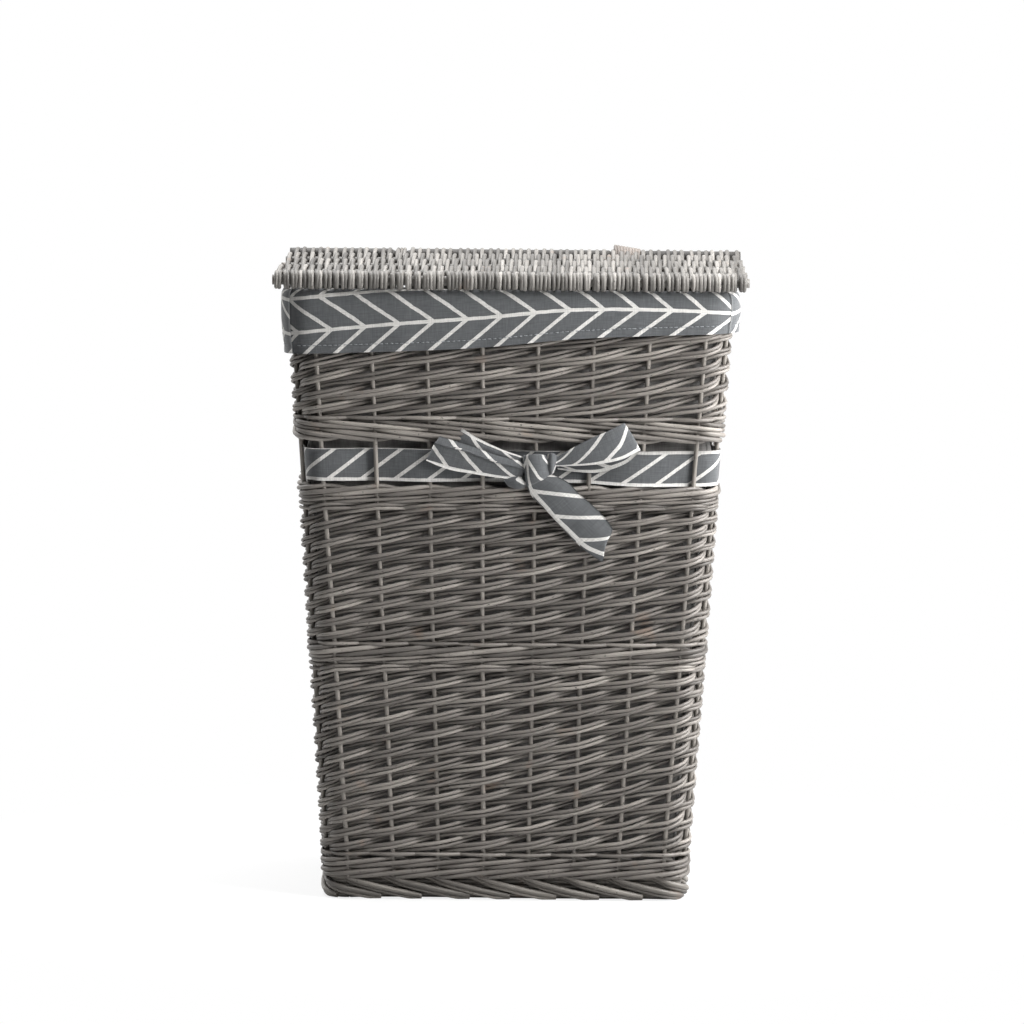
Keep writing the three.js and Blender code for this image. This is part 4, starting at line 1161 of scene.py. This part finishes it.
# %% [markdown]
# ## Ribbon and bow
#
# The ribbon is a strip of the printed cotton, threaded in front of every second stake in the open row. Its
# two ends are tied in the bow, so the print isn't in step there. The bow is given by bands of cloth: a
# knot and a small lobe beside it, a loop and a tail on each side, and a curl of the left loop's end below.
# Each band is a few cross-sections, every one a row of points in millimetres: to the right, up, and out
# from the line of the stakes. A smooth curve through them makes the grid.


# %% Points in front of the wall
def in_front(points):
    """Points given in millimetres to the right, up, and out from the front's line of stakes."""
    x, z, out = np.moveaxis(np.asarray(points, float) / 1000, -1, 0)
    line = wall(LONG_BAYS / 2, z, out)
    return np.stack([x, line[..., 1], z], axis=-1)


print("the front's stakes stand at y", round(float(in_front((0, 400, 0))[1]), 3), "m at the ribbon")

# %% Ribbon
RIBBON_REACH = STAKE_RADIUS + CLOTH / 2 + 0.0003  # how far before or behind a stake it passes
RIBBON_CURL, RIBBON_SWAY, RIBBON_TILT = 0.0007, 0.0004, 0.0006
RIBBON_WIDE, WIDE_FROM, WIDE_TO = 0.0027, 5.2, 9.0  # how much wider it is, and over which bays
RIBBON_PRINT, RIBBON_STEP = 0.016, 0.006  # where the print starts along it, and its step behind the bow
RIBBON_ROW, RIBBON_SPAN, WIDE_SPAN = 0.0303, 0.0327, 0.0026  # which part of the printed rows it shows
RIBBON_SEAM = SIDE_STARTS[2] + LONG_BAYS // 2 - STAKES  # the bay where its lengths start, at the back
ribbon_low, ribbon_high = band("ribbon")
places = RIBBON_SEAM + np.linspace(0, STAKES, STAKES * 14, endpoint=False)
across = np.linspace(0, 1, 7)
curl = RIBBON_CURL * np.sin(math.pi * across) * np.sin(math.pi * places)[:, None] ** 2
offset = np.cos(math.pi * places)[:, None] * RIBBON_REACH + curl
wide = 1 / (1 + np.exp((WIDE_FROM - places) * 4)) / (1 + np.exp((places - WIDE_TO) * 4))
bottom = ribbon_low - 0.0022 - RIBBON_WIDE * wide
top = ribbon_high - 0.0006
sway = RIBBON_SWAY * np.sin(around(places, 3) + 1.0)
tilt = RIBBON_TILT * np.sin(around(places, 5))[:, None] * (across - 0.5)
height = bottom[:, None] + (top - bottom[:, None]) * across + sway[:, None] + tilt
grid = wall(places[:, None], height, offset)
run = np.append(lengths(grid[:, 3:4], 0)[:, 0], 0)
run[-1] = run[-2] + np.linalg.norm(grid[0, 3] - grid[-1, 3])
step = RIBBON_STEP / (1 + np.exp((LONG_BAYS / 2 + 0.4 - np.append(places, places[-1])) * 12))
v = RIBBON_ROW + across * (RIBBON_SPAN + WIDE_SPAN * np.append(wide, wide[0])[:, None])
uv = np.stack(np.broadcast_arrays((run - RIBBON_PRINT + step)[:, None], v), axis=-1)
ribbon = make_sheet("ribbon_cloth", grid, uv, [printed_cotton, plain_cotton], closed=True)
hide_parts("ribbon")
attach(ribbon, "body")
print("a ribbon", round(float(run[-1]), 3), "m round")

# %% The bow's cross-sections
TAIL_RIGHT = [
    [(18.7, 399.4, 9), (17.3, 401, 11), (28.9, 405.4, 13), (39.9, 410.6, 12)],
    [(24.2, 388.2, 8), (22.1, 392, 11), (40.6, 399.9, 14), (55.1, 403.2, 12)],
    [(35.3, 377, 8), (32.5, 381.2, 11), (51, 387.3, 13), (66.9, 391.2, 11)],
    [(47.7, 363.7, 8), (43.9, 369.6, 11), (62.7, 376.8, 13), (77.9, 382.1, 11)],
    [(58.1, 352.4, 7), (55.3, 357, 10), (72.4, 366.2, 12), (86.9, 373.2, 10)],
    [(68.5, 341.9, 7), (65.7, 346.2, 10), (81.4, 355.7, 12), (95, 363.4, 10)],
    [(76.8, 334.9, 7), (74.6, 339.2, 10), (87.7, 349.4, 12), (97.3, 357.6, 10)],
    [(83.7, 330, 7), (82.7, 333.7, 9), (89.8, 342.3, 11), (92.8, 348.5, 10)],
    [(87.9, 327.2, 7), (89.1, 328.7, 8), (89.3, 333.7, 9), (87.8, 340, 9)],
]
LOOP_RIGHT = [
    [(43.4, 425.9, 10), (43.8, 422.1, 11), (43.8, 418.3, 10)],
    [(59.9, 436, 11), (64.6, 428.4, 14), (70.2, 419.5, 13)],
    [(77, 445.3, 12), (83.1, 433.3, 15), (89.4, 421.8, 14)],
    [(93.5, 452.7, 12), (100.3, 438.7, 14), (106.6, 425.9, 13)],
    [(105.2, 458.5, 9), (113.9, 445.3, 10), (120.5, 432.7, 9)],
    [(106.3, 457.9, 5), (114.7, 444.1, 5), (121.3, 431.4, 5)],
    [(95.2, 450.9, 3), (102.8, 434.8, 2), (109.1, 420.3, 3)],
    [(77.3, 442.5, 2), (82.9, 426.4, 1.5), (85.7, 411.9, 3)],
    [(60.8, 432.8, 2), (62.2, 420.9, 2), (63.6, 412.1, 4)],
    [(44.2, 424, 4), (44.9, 419.1, 4), (45.6, 414.6, 5)],
]
TAIL_LEFT = [
    [(15.2, 422, 9), (14.9, 415.6, 12), (14.5, 415.2, 11), (11.1, 406.1, 9)],
    [(0.1, 424.9, 9), (2.1, 418.7, 13), (1.4, 418.3, 12), (-4.7, 406.3, 10)],
    [(-15.1, 429, 9), (-12.6, 422, 13), (-13.3, 421.7, 12), (-20.6, 408.3, 10)],
    [(-28.8, 433.9, 9), (-28.6, 427.6, 13), (-29.3, 427.2, 12), (-36.4, 410.8, 10)],
    [(-42.6, 438.5, 9), (-43.7, 432.8, 13), (-44.4, 432.4, 12), (-52, 413.2, 10)],
    [(-55, 442.3, 9), (-57.5, 435.9, 13), (-58.1, 435.5, 12), (-66.7, 417.8, 10)],
    [(-65.3, 445.5, 9), (-69.5, 439.5, 12), (-70.2, 439.2, 11), (-77.7, 422.6, 9)],
]
LOOP_LEFT = [
    [(13.2, 426.4, 7), (12.5, 423.3, 8), (11.8, 419.4, 7)],
    [(-5.4, 432.7, 7), (-5.7, 428.6, 8), (-6, 424.3, 7)],
    [(-20.5, 439.4, 7), (-21.2, 434.2, 8), (-21.9, 428.5, 7)],
    [(-32.9, 445.9, 7), (-33.9, 439.1, 8), (-34.9, 432.7, 7)],
    [(-43.2, 452.1, 6), (-46, 445.2, 6), (-47.8, 438.5, 6)],
    [(-44.2, 452.1, 3), (-46.6, 444.6, 2.5), (-48, 437.2, 3)],
    [(-32.9, 443.6, 1.5), (-32.9, 437, 1), (-32.9, 430.1, 1.5)],
    [(-19.1, 436.3, 1.5), (-19.1, 432.1, 1), (-19.1, 425.2, 1.5)],
    [(11.2, 424.6, 3), (11.2, 421.1, 3), (11.2, 417.7, 3)],
]
CURL = [
    [(14.6, 408.1, 5), (11.2, 409.6, 6), (7, 410.3, 6), (-2.6, 408.2, 6)],
    [(15, 405, 9), (10.4, 406.6, 11), (3.5, 406.6, 11), (-4.5, 405.3, 9)],
    [(15.2, 401.5, 9), (12.2, 401.4, 12), (5.5, 401.2, 12), (-2.7, 400.9, 9)],
    [(15.6, 399.1, 6), (13.6, 397.7, 8), (7.7, 396.2, 8), (1.5, 397.8, 6)],
    [(14.7, 400.2, 3), (12.6, 398.8, 3), (7.8, 397.5, 3), (3.6, 398.9, 3)],
]
KNOT = [
    [(14.6, 426.4, 3), (20.8, 427, 3), (27.7, 427.2, 3), (33.9, 426.1, 3)],
    [(13.6, 427.3, 9), (20.6, 428.7, 12), (28.2, 428.9, 12), (34.7, 427.2, 9)],
    [(13.5, 422, 12), (19.9, 423.1, 16), (28.1, 423.1, 16), (35.8, 422.7, 12)],
    [(14.5, 415.1, 12), (19.9, 415.5, 16.5), (28.8, 415.5, 16.5), (36.6, 416.4, 12)],
    [(15.4, 406.7, 12), (19.9, 407.1, 16), (28.8, 407.8, 16), (37.9, 410.9, 12)],
    [(16.6, 399.2, 9), (20.7, 400.5, 12), (30.3, 404.6, 12), (39.3, 408.9, 9)],
    [(17.8, 400.3, 4), (22.2, 401.7, 4), (30.5, 404.5, 4), (38.1, 408.9, 4)],
]
LOBE = [
    [(36.7, 427.9, 4), (40.8, 428.4, 4), (44.2, 427.3, 4)],
    [(35.8, 428.4, 9), (40.2, 430, 12), (44.8, 427.1, 8)],
    [(35.5, 422.6, 11), (40.1, 423.6, 14), (45.8, 423.7, 8)],
    [(35.8, 417, 11), (39.9, 417.3, 14), (43.9, 418.1, 8)],
    [(36.6, 411.6, 8), (39.3, 411.4, 11), (42.1, 412.4, 7)],
    [(37.1, 412.1, 4), (39.4, 411.7, 4), (41.5, 412.8, 4)],
]
print("seven bands, the longest of", len(LOOP_RIGHT), "cross-sections")

# %% Bow
# Each band: its cross-sections, the piece of the frame that it stands for, how it is held, which way the
# print runs along it, where the print starts along and across, and the part of the printed row it spans.
BOW = {
    "bow_tail_cloth": (TAIL_RIGHT, "bow_tail", "hung", 1, 0.017, 0.0257, 0.034),
    "bow_loop_right_cloth": (LOOP_RIGHT, "bow_loop_right", "folded", 1, 0.0067, 0.003, 0.0305),
    "bow_tail_left_cloth": (TAIL_LEFT, None, "hung", 1, 0.0178, 0.003, 0.0305),
    "bow_loop_left_cloth": (LOOP_LEFT, "bow_loop_left", "folded", -1, 0.010, 0.0304, 0.0155),
    "bow_curl_cloth": (CURL, None, "folded", 1, 0.012, 0.005, 0.018),
    "bow_knot_cloth": (KNOT, "bow_knot", "gathered", 1, 0.008, 0.026, 0.034),
    "bow_lobe_cloth": (LOBE, None, "gathered", 1, 0.014, 0.004, 0.022),
}
for name, (sections, node, held, way, start, edge, span) in BOW.items():
    rows = smooth(sections, 10 * (len(sections) - 1) + 1)
    grid = in_front(np.swapaxes(smooth(np.swapaxes(rows, 0, 1), 25), 0, 1))
    along, across = lengths(grid, 0), lengths(grid, 1)
    width, middle = across[:, -1:], grid[:, 12]
    # Where a cross-section lies aslant, the print still runs square to the band's edge. A hanging end is
    # almost flat, and the print runs on to its slanting cut.
    if held == "hung":
        axis = middle[-1] - middle[0]
        u = start + way * ((grid - grid[0, 0]) @ axis) / np.linalg.norm(axis)
        width = np.maximum.accumulate(width, axis=0)
    else:
        axis = unit(np.gradient(middle, axis=0))
        u = start + way * (along[:, 12:13] + np.sum((grid - grid[:, :1]) * axis[:, None], axis=-1))
    uv = np.stack([u, edge + span * across / width], axis=-1)
    piece = make_sheet(name, grid, uv, [printed_cotton, printed_cotton])
    if node:
        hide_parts(node)
    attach(piece, "body")
print("a bow of", len(BOW), "bands")

# %% [markdown]
# ## Size
#
# The finished hamper's box is printed.

low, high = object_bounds()
print("the finished hamper measures", [round(b - a, 4) for a, b in zip(low, high)], "m")
